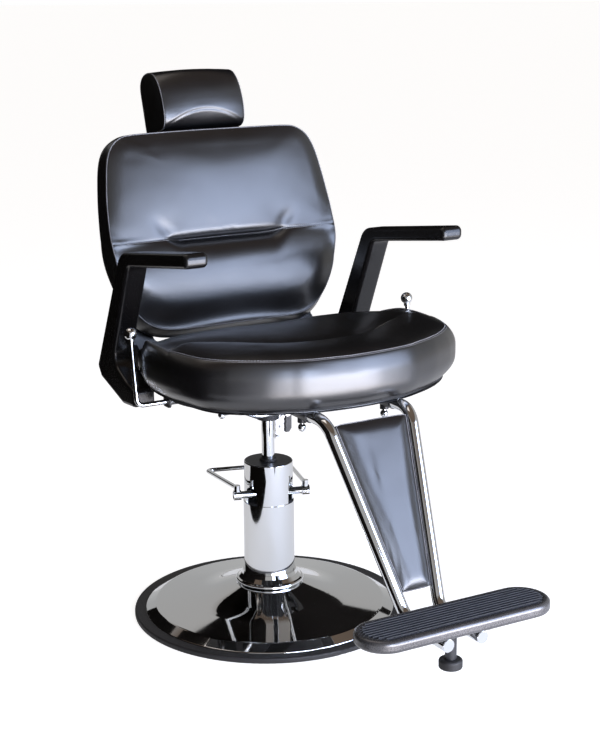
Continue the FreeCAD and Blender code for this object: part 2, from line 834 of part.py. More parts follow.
rail_spread = s.seat_half_width - s.rail_inset
seat_rear_half = s.seat_half_width - s.seat_step
arm_inner = seat_rear_half + s.arm_gap
lock_x = rail_spread - s.lock_inset
seat_plate_half_x = lock_x - s.lock_radius - s.seat_plate_gap
gusset_reach = seat_plate_half_x - s.gusset_inset
seat_plate_top = hub_top + s.seat_plate_wall
rail_bottom = s.board_bottom - s.rail_height
lug_wall = 8
lug_x = rail_spread + s.rail_width / 2
back_ear_x = lug_x + lug_wall + s.back_ear_gap
back_low_half = s.seat_half_width - s.back_low_inset
back_wide_half = s.seat_half_width - s.back_wide_inset
back_top_half = s.seat_half_width - s.back_top_inset


def make_seat_plate():
    body = new_body("seat_plate")
    sketch = new_sketch(body, "XY_Plane", hub_top)
    half_x = seat_plate_half_x
    half_y = s.seat_plate_half_y
    draw_lines(sketch, [
        (-half_x, -half_y, 20),
        (half_x, -half_y, 20),
        (half_x, half_y, 20),
        (-half_x, half_y, 20),
    ])
    draw_circle(sketch, 0, 0, s.spigot_radius + 8)
    pad(body, sketch, s.seat_plate_wall)
    finished(body, "seat_plate")


def make_seat_frame():
    # Side rails and cross bars, risers down to the seat plate, pivot lugs and two straps
    # for the recline lock, welded together.
    body = new_body("seat_frame_bars")
    for side in (-1, 1):
        rail = new_sketch(body, "XY_Plane", rail_bottom)
        inner = side * (rail_spread - s.rail_width / 2)
        outer = side * (rail_spread + s.rail_width / 2)
        draw_lines(rail, [
            (inner, -s.rail_front),
            (outer, -s.rail_front),
            (outer, s.rail_back),
            (inner, s.rail_back),
        ])
        if side < 0:
            pad(body, rail, s.rail_height)
            bars = new_sketch(body, "XY_Plane", rail_bottom)
            rear_half = arm_inner - s.arm_bracket_wall
            for middle, half in ((-s.front_bar_y, rail_spread), (s.rear_bar_y, rear_half)):
                draw_lines(bars, [
                    (-half, middle - s.rail_width / 2),
                    (half, middle - s.rail_width / 2),
                    (half, middle + s.rail_width / 2),
                    (-half, middle + s.rail_width / 2),
                ])
            pad(body, bars, s.rail_height)
        else:
            pad(body, rail, s.rail_height)
    for side in (-1, 1):
        lug = new_sketch(body, "YZ_Plane", side * (lug_x + lug_wall / 2))
        draw_lines(lug, [
            (s.pivot_y - 34, rail_bottom),
            (s.pivot_y + 14, rail_bottom - 4, 12),
            (s.pivot_y + 14, s.pivot_z + 14, 12),
            (s.pivot_y - 14, s.pivot_z + 14, 12),
            (s.pivot_y - 34, s.board_bottom),
        ])
        draw_circle(lug, s.pivot_y, s.pivot_z, s.pivot_bolt)
        pad(body, lug, lug_wall, both_ways=True)
    pieces = [body]
    for word, middle in (("front", -s.front_bar_y), ("rear", s.rear_bar_y)):
        height = rail_bottom - seat_plate_top
        at = (-seat_plate_half_x + 20, middle - s.rail_width / 2, seat_plate_top)
        size = (seat_plate_half_x * 2 - 40, s.rail_width, height)
        pieces.append(box("riser_" + word, size, at))
    strap_wall = 3
    inner = rail_spread - s.rail_width / 2
    for n, start in enumerate((-32, 60)):
        ring = cylinder("strap_ring_%d" % n, s.lock_radius + strap_wall, 16,
                        (lock_x, start, s.lock_z), along_y)
        stem = box("strap_stem_%d" % n, (6, 16, rail_bottom - s.lock_z + 5),
                   (inner, start, s.lock_z - 5))
        foot = box("strap_foot_%d" % n, (inner + 6 - lock_x, 16, 10), (lock_x, start, s.lock_z - 5))
        whole = joined("strap_%d" % n, [ring, stem, foot])
        hole = cylinder("strap_hole_%d" % n, s.lock_radius, 20, (lock_x, start - 2, s.lock_z), along_y)
        pieces.append(without("strap_%d" % n, whole, hole))
    finished(joined("seat_frame", pieces), "seat_frame")


def make_hub_bolts():
    bolts = []
    reach = s.hub_flange - 14
    for n in range(4):
        angle = 45 + 90 * n
        at = (reach * cosine(angle), reach * sine(angle), seat_plate_top)
        bolts.append(hexagon_head("hub_bolt_%d" % (n + 1), 8, 6, at))
    finished(group("hub_bolts", bolts), "hub_bolts")


def make_arm_brackets():
    # Steel plates between the rear cross bar and the arms' feet, and the screws in the arms.
    brackets = []
    screws = []
    for side, word in ((-1, "right"), (1, "left")):
        body = new_body("arm_bracket_" + word)
        wall = s.arm_bracket_wall
        sketch = new_sketch(body, "YZ_Plane", side * (arm_inner - wall / 2))
        low = s.arm_foot + 14
        draw_lines(sketch, [
            (s.rear_bar_y - 72, low + 6, 6),
            (s.rear_bar_y + 58, low + 6, 8),
            (s.rear_bar_y + 58, s.board_bottom - 2, 8),
            (s.rear_bar_y - 72, s.board_bottom - 8, 6),
        ])
        pad(body, sketch, wall, both_ways=True)
        brackets.append(body)
        for n, along in enumerate((-45, 35)):
            turn = FreeCAD.Rotation(y_axis, 90 * side)
            at = (side * (arm_inner - wall - 5), s.rear_bar_y + along, rail_bottom)
            screws.append(hexagon_head("arm_screw_%s_%d" % (word, n + 1), 7, 5, at, turn))
    finished(group("arm_brackets", brackets), "arm_brackets")
    finished(group("arm_screws", screws), "arm_screws")


# Seat board and cushion

seat_depth = s.seat_front + s.seat_back


def seat_outline(sketch, inset):
    # Rounded front, widest ahead of the arms, and narrower where it runs between them.
    wide = s.seat_half_width - inset
    rear = seat_rear_half - inset
    front = -s.seat_front + inset
    back = s.seat_back - inset
    right = [
        (wide * 0.34, front, seat_depth * 0.516),
        (wide * 0.84, front + seat_depth * 0.173, seat_depth * 0.198),
        (wide, front + seat_depth * 0.349, seat_depth * 0.298),
        (wide, -seat_depth * 0.119, seat_depth * 0.119),
        (rear, seat_depth * 0.089, seat_depth * 0.119),
        (rear, back, seat_depth * 0.103 - inset),
    ]
    left = [(-x, y, radius) for x, y, radius in reversed(right)]
    return draw_lines(sketch, right + left)


def make_seat_board():
    body = new_body("seat_board")
    sketch = seat_outline(new_sketch(body, "XY_Plane", s.board_bottom), s.board_inset)
    pad(body, sketch, s.board_wall)
    finished(body, "seat_board")


def make_seat_cushion():
    bottom = s.board_bottom + s.board_wall
    top = s.board_bottom + s.seat_thickness * 1.06
    plan = new_body("seat_cushion_plan")
    sketch = seat_outline(new_sketch(plan, "XY_Plane", bottom), as_size(0))
    pad(plan, sketch, top - bottom + 10)
    side = new_body("seat_cushion_side")
    profile = new_sketch(side, "YZ_Plane")
    front = -s.seat_front
    draw_lines(profile, [
        (front - 2, bottom),
        (s.seat_back + 2, bottom),
        (s.seat_back + 2, s.board_bottom + s.seat_rear_thickness),
        (s.seat_back - seat_depth * 0.119, s.board_bottom + s.seat_thickness * 0.78, seat_depth * 0.139),
        (front + seat_depth * 0.456, top, seat_depth * 0.595),
        (front + s.seat_thickness * 0.18, top, s.seat_thickness * 0.3),
        (front - 2, top - s.seat_thickness * 0.3, s.seat_thickness * 0.3),
    ])
    pad(side, profile, s.seat_half_width * 2 + 20, both_ways=True)
    finished(shared("seat_cushion", plan, side), "seat_cushion")


# Arms

def make_arms():
    # Each arm is one moulding: a pad that rises to its tip, a sloping post and a foot.
    for side, word in ((-1, "right"), (1, "left")):
        body = new_body("arm_" + word)
        middle = side * (arm_inner + s.arm_width / 2)
        sketch = new_sketch(body, "YZ_Plane", middle)
        tip = -s.arm_tip
        top_rear = s.arm_top - s.arm_slope
        foot = s.arm_foot
        draw_lines(sketch, [
            (tip, s.arm_top, 12),
            (45, top_rear - 3, 42),
            (178, foot + 58, 14),
            (160, foot + 34, 10),
            (50, foot, 14),
            (-8, foot + 4, 10),
            (-8, foot + 40, 10),
            (34, foot + 50, 30),
            (100, foot + 82, 30),
            (5, top_rear - s.arm_pad + 3, 24),
            (tip, s.arm_top - s.arm_pad, 12),
        ])
        block = pad(body, sketch, s.arm_width, both_ways=True)
        inner_face = middle - side * s.arm_width / 2
        outer_face = middle + side * s.arm_width / 2
        round_edges(body, block, s.arm_edge, flat_at(x_axis, inner_face, outer_face))
        finished(body, "arm_" + word)


# Back rest, built upright about its pivot and then leaned

pivot = (0, s.pivot_y, s.pivot_z)
board_front = s.back_rear
board_rear = s.back_rear + s.back_board_wall
frame_rear = board_rear + s.back_bar_wall
back_height = s.back_top - s.back_bottom


def back_outline(sketch, inset):
    low = s.back_bottom + inset
    high = s.back_top - inset
    low_radius = back_height * 0.207 - inset
    side_radius = back_height * 0.506
    top_radius = back_height * 0.152 - inset
    return draw_lines(sketch, [
        (back_low_half - inset, low, low_radius),
        (back_wide_half - inset, s.back_wide_at, side_radius),
        (back_top_half - inset, high, top_radius),
        (-back_top_half + inset, high, top_radius),
        (-back_wide_half + inset, s.back_wide_at, side_radius),
        (-back_low_half + inset, low, low_radius),
    ])


def make_back_cushion():
    # The outline cut by a side profile with a lumbar roll below and a flatter panel above.
    plan = new_body("back_cushion_plan", pivot, back_rotation)
    sketch = back_outline(new_sketch(plan, "XZ_Plane", -s.back_rear), as_size(0))
    pad(plan, sketch, s.back_front + s.back_crown + s.back_rear + 20)
    side = new_body("back_cushion_side", pivot, back_rotation)
    seam = -s.back_front
    crown = seam - s.back_crown
    profile = new_sketch(side, "YZ_Plane")
    draw_lines(profile, [
        (s.back_rear, s.back_bottom - 2),
        (seam + s.back_crown * 0.33, s.back_bottom - 2),
        (seam - s.back_crown * 0.5, s.back_bottom + back_height * 0.018, back_height * 0.028),
        (crown - s.back_crown * 0.33, s.back_bottom + back_height * 0.23, back_height * 0.276),
        (seam - s.back_crown * 0.33, s.back_wide_at + back_height * 0.046, back_height * 0.032),
        (crown, s.back_wide_at + back_height * 0.138, back_height * 0.138),
        (crown + s.back_crown * 0.17, s.back_top - back_height * 0.161, back_height * 0.276),
        (seam, s.back_top + 2, back_height * 0.046),
        (s.back_rear, s.back_top + 2),
    ])
    pad(side, profile, back_wide_half * 2 + 20, both_ways=True)
    finished(shared("back_cushion", plan, side), "back_cushion")


def make_back_board():
    body = new_body("back_board", pivot, back_rotation)
    sketch = back_outline(new_sketch(body, "XZ_Plane", -board_front), as_size(4))
    pad(body, sketch, s.back_board_wall, reverse=True)
    finished(body, "back_board")


def lock_pin_place():
    # The lock's pin hangs below the pivot, half a swing behind the upright.
    reach_y = s.lock_arm * sine(s.lock_half_swing)
    reach_z = -s.lock_arm * cosine(s.lock_half_swing)
    along = reach_y * sine(s.back_lean) + reach_z * cosine(s.back_lean)
    across = reach_y * cosine(s.back_lean) - reach_z * sine(s.back_lean)
    return reach_y, reach_z, along, across


def make_back_frame():
    # Two flat uprights and a cross bar behind the board, with pivot ears and the lock's clevis.
    body = new_body("back_frame", pivot, back_rotation)
    ear_outer = back_ear_x + s.back_ear_wall
    bars = new_sketch(body, "XZ_Plane", -board_rear)
    half = s.back_bar_width / 2
    upright_top = s.back_wide_at + back_height * 0.207
    draw_lines(bars, [
        (-ear_outer, 14),
        (ear_outer, 14),
        (ear_outer, 54),
        (rail_spread + half, 74),
        (rail_spread + half, upright_top, 16),
        (rail_spread - half, upright_top, 16),
        (rail_spread - half, 54, 14),
        (-rail_spread + half, 54, 14),
        (-rail_spread + half, upright_top, 16),
        (-rail_spread - half, upright_top, 16),
        (-rail_spread - half, 74),
        (-ear_outer, 54),
    ])
    pad(body, bars, s.back_bar_wall, reverse=True)
    for side in (-1, 1):
        ear = new_sketch(body, "YZ_Plane", side * (back_ear_x + s.back_ear_wall / 2))
        draw_lines(ear, [
            (-15, -15, 14),
            (15, -15, 14),
            (frame_rear, 14),
            (frame_rear, 54),
            (board_rear, 54),
            (-15, 14, 10),
        ])
        draw_circle(ear, 0, 0, s.pivot_bolt + s.running_fit)
        pad(body, ear, s.back_ear_wall, both_ways=True)
    pin = lock_pin_place()
    for side in (-1, 1):
        cheek = new_sketch(body, "YZ_Plane", lock_x + side * 7.5)
        draw_lines(cheek, [
            (board_rear, 50),
            (frame_rear, 50),
            (pin[3] + 9, pin[2] + 4, 6),
            (pin[3] + 7, pin[2] - 9, 8),
            (pin[3] - 9, pin[2] - 9, 8),
            (board_rear, 14),
        ])
        pad(body, cheek, 5, both_ways=True)
    pin_end = new_sketch(body, "YZ_Plane", lock_x)
    draw_circle(pin_end, pin[3], pin[2], 4)
    pad(body, pin_end, 18, both_ways=True)
    finished(body, "back_frame")


def make_pivot_bolts():
    bolts = []
    for side, word in ((-1, "right"), (1, "left")):
        turn = FreeCAD.Rotation(y_axis, 90 * side)
        start = side * lug_x
        head_start = side * (back_ear_x + s.back_ear_wall + s.clearance)
        at = (start, s.pivot_y, s.pivot_z)
        length = back_ear_x + s.back_ear_wall - lug_x + 2
        stem = cylinder("pivot_stem_" + word, s.pivot_bolt, length, at, turn)
        head_at = (head_start, s.pivot_y, s.pivot_z)
        head = hexagon_head("pivot_head_" + word, s.pivot_bolt * 2, 6, head_at, turn)
        bolts.append(joined("pivot_bolt_" + word, [stem, head]))
    finished(group("pivot_bolts", bolts), "pivot_bolts")


def make_back_screws():
    screws = []
    into = FreeCAD.Rotation(x_axis, 90)
    turn = back_rotation.multiply(into)
    for side in (-1, 1):
        for n, share in enumerate((0.455, 0.826, 1.24)):
            up = s.back_wide_at * share
            out = frame_rear + 3
            at = (side * rail_spread,
                  s.pivot_y + out * cosine(s.back_lean) + up * sine(s.back_lean),
                  s.pivot_z - out * sine(s.back_lean) + up * cosine(s.back_lean))
            screws.append(cylinder("back_screw_%d_%d" % (side + 1, n), 7, 3, at, turn))
    finished(group("back_screws", screws), "back_screws")


# Head rest

head_bottom = s.back_top + s.head_gap
bar_front = board_rear + 3
bar_rear = bar_front + s.head_bar_wall
bar_half = s.head_bar_width / 2
head_board_half = s.head_half_width * 0.61
head_board_height = s.head_height * 0.7
head_board_wall = 6


def make_head_guide():
    # Two bridges on the back board that the head rest's bar slides through.
    guides = []
    for n, low in enumerate((-s.head_bar_drop * 0.61, -s.head_bar_drop * 0.25)):
        body = new_body("head_guide_%d" % (n + 1), pivot, back_rotation)
        sketch = new_sketch(body, "XY_Plane", s.back_top + low)
        gap = s.clearance
        draw_lines(sketch, [
            (-bar_half - 14, board_rear),
            (bar_half + 14, board_rear),
            (bar_half + 14, bar_rear + 6, 4),
            (-bar_half - 14, bar_rear + 6, 4),
        ])
        draw_lines(sketch, [
            (-bar_half - gap, bar_front - gap),
            (bar_half + gap, bar_front - gap),
            (bar_half + gap, bar_rear + gap),
            (-bar_half - gap, bar_rear + gap),
        ])
        pad(body, sketch, 26)
        guides.append(body)
    finished(group("head_guides", guides), "head_guides")


def make_head_bar():
    # The flat sliding bar with the plate that the pillow is fixed to.
    body = new_body("head_bar", pivot, back_rotation)
    sketch = new_sketch(body, "XZ_Plane", -bar_front)
    draw_lines(sketch, [
        (-bar_half, head_bottom - s.head_bar_drop, 6),
        (bar_half, head_bottom - s.head_bar_drop, 6),
        (bar_half, head_bottom + s.head_height * 0.58, 6),
        (-bar_half, head_bottom + s.head_height * 0.58, 6),
    ])
    pad(body, sketch, s.head_bar_wall, reverse=True)
    plate = new_sketch(body, "XZ_Plane", -bar_rear + 1)
    draw_lines(plate, [
        (-head_board_half, head_bottom + 6, 4),
        (head_board_half, head_bottom + 6, 4),
        (head_board_half, head_bottom + head_board_height, 4),
        (-head_board_half, head_bottom + head_board_height, 4),
    ])
    pad(body, plate, head_board_wall + 1, reverse=True)
    finished(body, "head_bar")


def make_head_cushion():
    # A thick pillow with a rounded top, and a slot below for its board and bar.
    body = new_body("head_cushion", pivot, back_rotation)
    profile = new_sketch(body, "YZ_Plane")
    high = head_bottom + s.head_height
    draw_lines(profile, [
        (-s.head_front, head_bottom, s.head_height * 0.102),
        (s.head_rear, head_bottom, s.head_height * 0.102),
        (s.head_rear, high - s.head_height * 0.146, s.head_height * 0.219),
        (s.head_rear - s.head_height * 0.248, high, s.head_height * 0.219),
        (-s.head_front + s.head_height * 0.307, high, s.head_height * 0.248),
        (-s.head_front, high - s.head_height * 0.453, s.head_height * 0.438),
    ])
    pillow = pad(body, profile, s.head_half_width * 2, both_ways=True)
    round_edges(body, pillow, s.head_height * 0.066, flat_at(x_axis, s.head_half_width, -s.head_half_width))
    slot = new_sketch(body, "XY_Plane", head_bottom - 1)
    gap = s.clearance
    reach = head_board_half + gap
    draw_lines(slot, [
        (-reach, bar_front - gap),
        (reach, bar_front - gap),
        (reach, bar_rear + head_board_wall + gap),
        (-reach, bar_rear + head_board_wall + gap),
    ])
    cut_through(body, slot, head_board_height + 2, both_ways=False, reverse=True)
    finished(body, "head_cushion")


# Recline lock

def make_lock_cylinder():
    at = (lock_x, -s.lock_front, s.lock_z)
    tube = cylinder("lock_tube", s.lock_radius, s.lock_length, at, along_y)
    bore_at = (lock_x, -s.lock_front + s.lock_length * 0.2, s.lock_z)
    bore = cylinder("lock_bore", s.lock_rod + s.running_fit, s.lock_length, bore_at, along_y)
    finished(without("lock_cylinder", tube, bore), "lock_cylinder")


def make_lock_rod():
    # The rod ends in a flat yoke with an upright slot, open by a clearance round the back's pin.
    pin = lock_pin_place()
    pin_y = s.pivot_y + pin[0]
    body = new_body("lock_rod", (lock_x, 0, s.lock_z))
    rod_start = -s.lock_front + s.lock_length * 0.54
    yoke_half = 10
    circle = draw_circle(new_sketch(body, "XZ_Plane", -rod_start), 0, 0, s.lock_rod)
    pad(body, circle, pin_y - yoke_half - rod_start + 1, reverse=True)
    yoke = new_sketch(body, "YZ_Plane")
    draw_lines(yoke, [
        (pin_y - yoke_half, -11, 3),
        (pin_y + yoke_half, -11, 3),
        (pin_y + yoke_half, 11, 3),
        (pin_y - yoke_half, 11, 3),
    ])
    slot_half = 4 + 0.6
    draw_lines(yoke, [
        (pin_y - slot_half, -8),
        (pin_y + slot_half, -8),
        (pin_y + slot_half, 8),
        (pin_y - slot_half, 8),
    ])
    pad(body, yoke, 8, both_ways=True)
    finished(body, "lock_rod")


# Recline lever

lever_half = s.seat_half_width + s.lever_gap + s.lever_rod


def make_recline_lever():
    turn = FreeCAD.Rotation(x_axis, -number(s.lever_lean))
    body = new_body("recline_lever", (0, -s.lever_y, s.lever_z), turn)
    path = new_sketch(body, "XZ_Plane")
    top = s.lever_height - s.lever_ball * 0.8
    draw_lines(path, [
        (-lever_half, top),
        (-lever_half, 0, s.lever_bend),
        (lever_half, 0, s.lever_bend),
        (lever_half, top),
    ], closed=False)
    section = draw_circle(new_sketch(body, "XY_Plane", top), -lever_half, 0, s.lever_rod)
    swept(body, path, section)
    finger = new_sketch(body, "YZ_Plane", lock_x)
    draw_lines(finger, [
        (-3, -36, 2),
        (3, -36, 2),
        (3, 0),
        (-3, 0),
    ])
    pad(body, finger, 8, both_ways=True)
    finished(body, "recline_lever")


def make_lever_knobs():
    knobs = []
    for side, word in ((-1, "right"), (1, "left")):
        reach = s.lever_height
        at = (side * lever_half, -s.lever_y + reach * sine(s.lever_lean),
              s.lever_z + reach * cosine(s.lever_lean))
        knob = ball("lever_ball_" + word, s.lever_ball, at)
        turn = FreeCAD.Rotation(x_axis, -number(s.lever_lean))
        low = reach - s.lever_ball - 4
        stem_at = (side * lever_half, -s.lever_y + low * sine(s.lever_lean),
                   s.lever_z + low * cosine(s.lever_lean))
        stem = cylinder("lever_neck_" + word, s.lever_rod + 2, 8, stem_at, turn)
        hole_length = s.lever_ball * 0.2 + 4 + 0.01
        hole = cylinder("lever_socket_" + word, s.lever_rod, hole_length, stem_at, turn)
        whole = joined("lever_knob_" + word, [knob, stem])
        knobs.append(without("lever_knob_" + word, whole, hole))
    finished(group("lever_knobs", knobs), "lever_knobs")


def make_lever_brackets():
    # U-shaped hangers under the seat board that carry the lever rod.
    brackets = []
    for side, word in ((-1, "right"), (1, "left")):
        body = new_body("lever_bracket_" + word)
        outer = side * (s.seat_half_width - s.lever_bracket_inset)
        inner = outer - side * s.lever_bracket_width
        low = s.lever_z - 13
        for n, x in enumerate((outer, inner)):
            ear = new_sketch(body, "YZ_Plane", x)
            draw_lines(ear, [
                (-s.lever_y - 12, low, 8),
                (-s.lever_y + 18, low, 3),
                (-s.lever_y + 18, s.board_bottom),
                (-s.lever_y - 12, s.board_bottom),
            ])
            draw_circle(ear, -s.lever_y, s.lever_z, s.lever_rod + s.running_fit)
            pad(body, ear, 4, both_ways=True)
            if n == 0:
                web = new_sketch(body, "XZ_Plane", s.lever_y - 18)
                draw_lines(web, [
                    (inner, low),
                    (outer, low),
                    (outer, s.board_bottom),
                    (inner, s.board_bottom),
                ])
                pad(body, web, 4)
        brackets.append(body)
    finished(group("lever_brackets", brackets), "lever_brackets")


# Swivel brake

brake_front = s.gusset_wall / 2
brake_plate_wall = 5
brake_left = s.piston_radius + 1.5
brake_right = 38
brake_pivot_x = 31
brake_pivot_z = s.hub_bottom + 17


def make_brake_plate():
    body = new_body("brake_plate")
    sketch = new_sketch(body, "XZ_Plane", brake_front)
    low = s.hub_bottom - 47
    draw_lines(sketch, [
        (brake_left, low),
        (brake_right - 9, low),
        (brake_right, low + 14, 6),
        (brake_right, s.hub_bottom + 28, 4),
        (s.hub_radius + s.clearance, s.hub_bottom + 28),
        (s.hub_radius + s.clearance, s.hub_bottom - 2),
        (brake_left, s.hub_bottom - 2),
    ])
    pad(body, sketch, brake_plate_wall)
    finished(body, "brake_plate")


def make_brake_housing():
    body = new_body("brake_housing")
    sketch = new_sketch(body, "XZ_Plane")
    low = s.hub_bottom - 34
    draw_lines(sketch, [
        (brake_right, low),
        (brake_right + 8, low),
        (brake_right + 14, low + 8, 2),
        (brake_right + 14, s.hub_bottom + 4, 2),
        (brake_right, s.hub_bottom + 4),
    ])
    pad(body, sketch, 26, both_ways=True)
    finished(body, "brake_housing")


def make_brake_bolts():
    bolts = []
    front = -brake_front - brake_plate_wall
    turn = FreeCAD.Rotation(x_axis, 90)
    for n, (x, up) in enumerate(((27, -21), (21, -41), (32, 1))):
        at = (x, front, s.hub_bottom + up)
        bolts.append(hexagon_head("brake_bolt_%d" % (n + 1), 4, 3.5, at, turn))
    length = s.brake_y + 8 + front
    pivot_at = (brake_pivot_x, front, brake_pivot_z)
    bolts.append(cylinder("brake_pivot_bolt", 3, length, pivot_at, turn))
    finished(group("brake_bolts", bolts), "brake_bolts")


def make_brake_lever():
    # A rod that passes in front of the hub, with a pivot eye and a hanging ball end.
    body = new_body("brake_lever")
    level = brake_pivot_z
    reach = s.brake_reach
    path = new_sketch(body, "XZ_Plane", s.brake_y)
    draw_lines(path, [
        (brake_pivot_x - 5, level),
        (-36, level, 40),
        (-reach, level + 32, 8),
        (-reach, level + 16),
    ], closed=False)
    section = new_sketch(body, "YZ_Plane", brake_pivot_x - 5)
    draw_circle(section, -s.brake_y, level, s.brake_rod)
    swept(body, path, section)
    eye_wall = 11
    eye = new_sketch(body, "XZ_Plane", s.brake_y - eye_wall / 2)
    draw_circle(eye, brake_pivot_x, level, 8)
    draw_circle(eye, brake_pivot_x, level, 3 + s.running_fit)
    pad(body, eye, eye_wall)
    knob = ball("brake_ball", s.brake_ball, (-s.brake_reach, -s.brake_y, level + 16))
    finished(joined("brake_lever", [body, knob]), "brake_lever")


# Leg rest

socket_inner = s.leg_tube + s.running_fit
socket_outer = socket_inner + s.socket_wall
leg_toe = s.leg_ankle + s.leg_toe_length
foot_y = s.leg_ankle + s.foot_reach
leg_slant = root((s.leg_x - s.leg_foot_x) * (s.leg_x - s.leg_foot_x)
                 + (s.leg_z - s.leg_foot_z) * (s.leg_z - s.leg_foot_z))
leg_run = root((s.leg_ankle - s.leg_knee) * (s.leg_ankle - s.leg_knee)
               + (s.leg_z - s.leg_foot_z) * (s.leg_z - s.leg_foot_z))
leg_narrowing = (s.leg_x - s.leg_foot_x) / leg_run
leg_roll = math.degrees(math.atan2(number(s.leg_x) - number(s.leg_foot_x),
                                   number(s.leg_z) - number(s.leg_foot_z)))


def make_leg_tubes():
    # Each tube lies in one plane that leans inwards, turned about its upper run.
    for side, word in ((-1, "right"), (1, "left")):
        turn = FreeCAD.Rotation(y_axis, side * leg_roll)
        body = new_body("leg_tube_" + word, (side * s.leg_x, 0, s.leg_z), turn)
        path = new_sketch(body, "YZ_Plane")
        draw_lines(path, [
            (-s.leg_inner_end, 0),
            (-s.leg_knee, 0, s.leg_bend),
            (-s.leg_ankle, -leg_slant, s.leg_bend),
            (-leg_toe, -leg_slant),
        ], closed=False)
        section = new_sketch(body, "XZ_Plane", s.leg_inner_end)
        draw_circle(section, 0, 0, s.leg_tube)
        draw_circle(section, 0, 0, s.leg_tube - s.leg_wall)
        swept(body, path, section)
        cap = new_sketch(body, "XZ_Plane", leg_toe - s.leg_wall)
        draw_circle(cap, 0, -leg_slant, s.leg_tube - s.leg_wall / 2)
        pad(body, cap, s.leg_wall + 1)
        finished(body, "leg_tube_" + word)


def make_leg_sockets():
    sockets = []
    for side, word in ((-1, "right"), (1, "left")):
        body = new_body("leg_socket_" + word, (side * s.leg_x, 0, s.leg_z))
        length = s.socket_front - s.socket_back
        ring = new_sketch(body, "XZ_Plane", s.socket_back)
        draw_circle(ring, 0, 0, socket_outer)
        draw_circle(ring, 0, 0, socket_inner)
        pad(body, ring, length)
        boss = new_sketch(body, "XY_Plane", -socket_outer - 7)
        draw_circle(boss, 0, -s.screw_y, s.screw_radius + 5)
        pad(body, boss, 7 + s.socket_wall / 2)
        hole = new_sketch(body, "XY_Plane", -socket_outer - 8)
        draw_circle(hole, 0, -s.screw_y, s.screw_radius + s.running_fit)
        cut_through(body, hole, 8 + s.socket_wall * 2, both_ways=False, reverse=True)
        sockets.append(body)
    finished(group("leg_sockets", sockets), "leg_sockets")


def make_socket_bar():
    # A cross strap under both sockets, bent up to the side rails at its ends.
    bar_top = s.leg_z - socket_outer
    body = new_body("socket_bar")
    outer = rail_spread + s.rail_width / 2
    sketch = new_sketch(body, "XZ_Plane", s.socket_back + 16)
    wall = 6
    draw_lines(sketch, [
        (-outer, rail_bottom),
        (-outer, bar_top - wall, 8),
        (outer, bar_top - wall, 8),
        (outer, rail_bottom),
        (outer - wall, rail_bottom),
        (outer - wall, bar_top, 3),
        (-outer + wall, bar_top, 3),
        (-outer + wall, rail_bottom),
    ])
    pad(body, sketch, 30)
    finished(body, "socket_bar")


def make_clamp_knobs():
    for side, word in ((-1, "right"), (1, "left")):
        top = s.leg_z - s.leg_tube - s.clearance
        drop = top - s.leg_z + s.leg_tube + s.screw_drop
        at = (side * s.leg_x, -s.screw_y, top - drop)
        stem = cylinder("leg_screw_stem_" + word, s.screw_radius, drop, at)
        ball_at = (side * s.leg_x, -s.screw_y, top - drop)
        knob = ball("leg_screw_ball_" + word, s.screw_ball, ball_at)
        finished(joined("leg_screw_" + word, [stem, knob]), "leg_screw_" + word)


# Calf pad, built upright about the leg tubes' corner and then leaned

calf_turn = math.degrees(math.atan2(number(s.leg_ankle) - number(s.leg_knee),
                                    number(s.leg_z) - number(s.leg_foot_z)))
calf_rotation = FreeCAD.Rotation(x_axis, -calf_turn)
calf_corner = (0, -s.leg_knee, s.leg_z)
calf_rear = s.leg_tube
calf_foot = leg_run - s.calf_end


def between_tubes(down):
    # Half the room between the leg tubes, this far below their upper corner.
    return s.leg_x - leg_narrowing * down - s.leg_tube - s.calf_gap


def calf_outline(sketch, inset):
    low = -calf_foot + inset
    high = -s.calf_start - inset
    bottom_half = between_tubes(calf_foot) - inset
    top_half = between_tubes(s.calf_start) - inset
    return draw_lines(sketch, [
        (-bottom_half, low, 5),
        (bottom_half, low, 5),
        (top_half, high, 7),
        (-top_half, high, 7),
    ])


def make_calf_pad():
    body = new_body("calf_pad", calf_corner, calf_rotation)
    front = calf_rear - s.calf_board - s.calf_pad
    sketch = calf_outline(new_sketch(body, "XZ_Plane", -front), as_size(0))
    block = pad(body, sketch, s.calf_pad, reverse=True)
    round_edges(body, block, 5, flat_at(y_axis, front))
    finished(body, "calf_pad")


def make_calf_board():
    body = new_body("calf_board", calf_corner, calf_rotation)
    front = calf_rear - s.calf_board
    sketch = calf_outline(new_sketch(body, "XZ_Plane", -front), as_size(3))
    pad(body, sketch, s.calf_board, reverse=True)
    finished(body, "calf_board")


def make_calf_straps():
    # Two flat straps behind the board that tie the leg tubes together.
    straps = []
    for n, down in enumerate((leg_run * 0.175, leg_run * 0.7)):
        body = new_body("calf_strap_%d" % (n + 1), calf_corner, calf_rotation)
        half = s.leg_x - leg_narrowing * down
        sketch = new_sketch(body, "XZ_Plane", -calf_rear)
        draw_lines(sketch, [
            (-half, -down - 10, 4),
            (half, -down - 10, 4),
            (half, -down + 10, 4),
            (-half, -down + 10, 4),
        ])
        pad(body, sketch, 3, reverse=True)
        straps.append(body)
    finished(group("calf_straps", straps), "calf_straps")


# Foot rest

foot_plate_bottom = s.leg_foot_z + s.leg_tube
foot_bottom = foot_plate_bottom + s.foot_plate_wall
foot_top = foot_bottom + s.foot_height
peg_socket = 6


def foot_outline(sketch, inset):
    half_depth = s.foot_depth / 2 - inset
    radius = half_depth - 0.5
    half = s.foot_half - inset
    return draw_lines(sketch, [
        (-half, -foot_y - half_depth, radius),
        (half, -foot_y - half_depth, radius),
        (half, -foot_y + half_depth, radius),
        (-half, -foot_y + half_depth, radius),
    ])


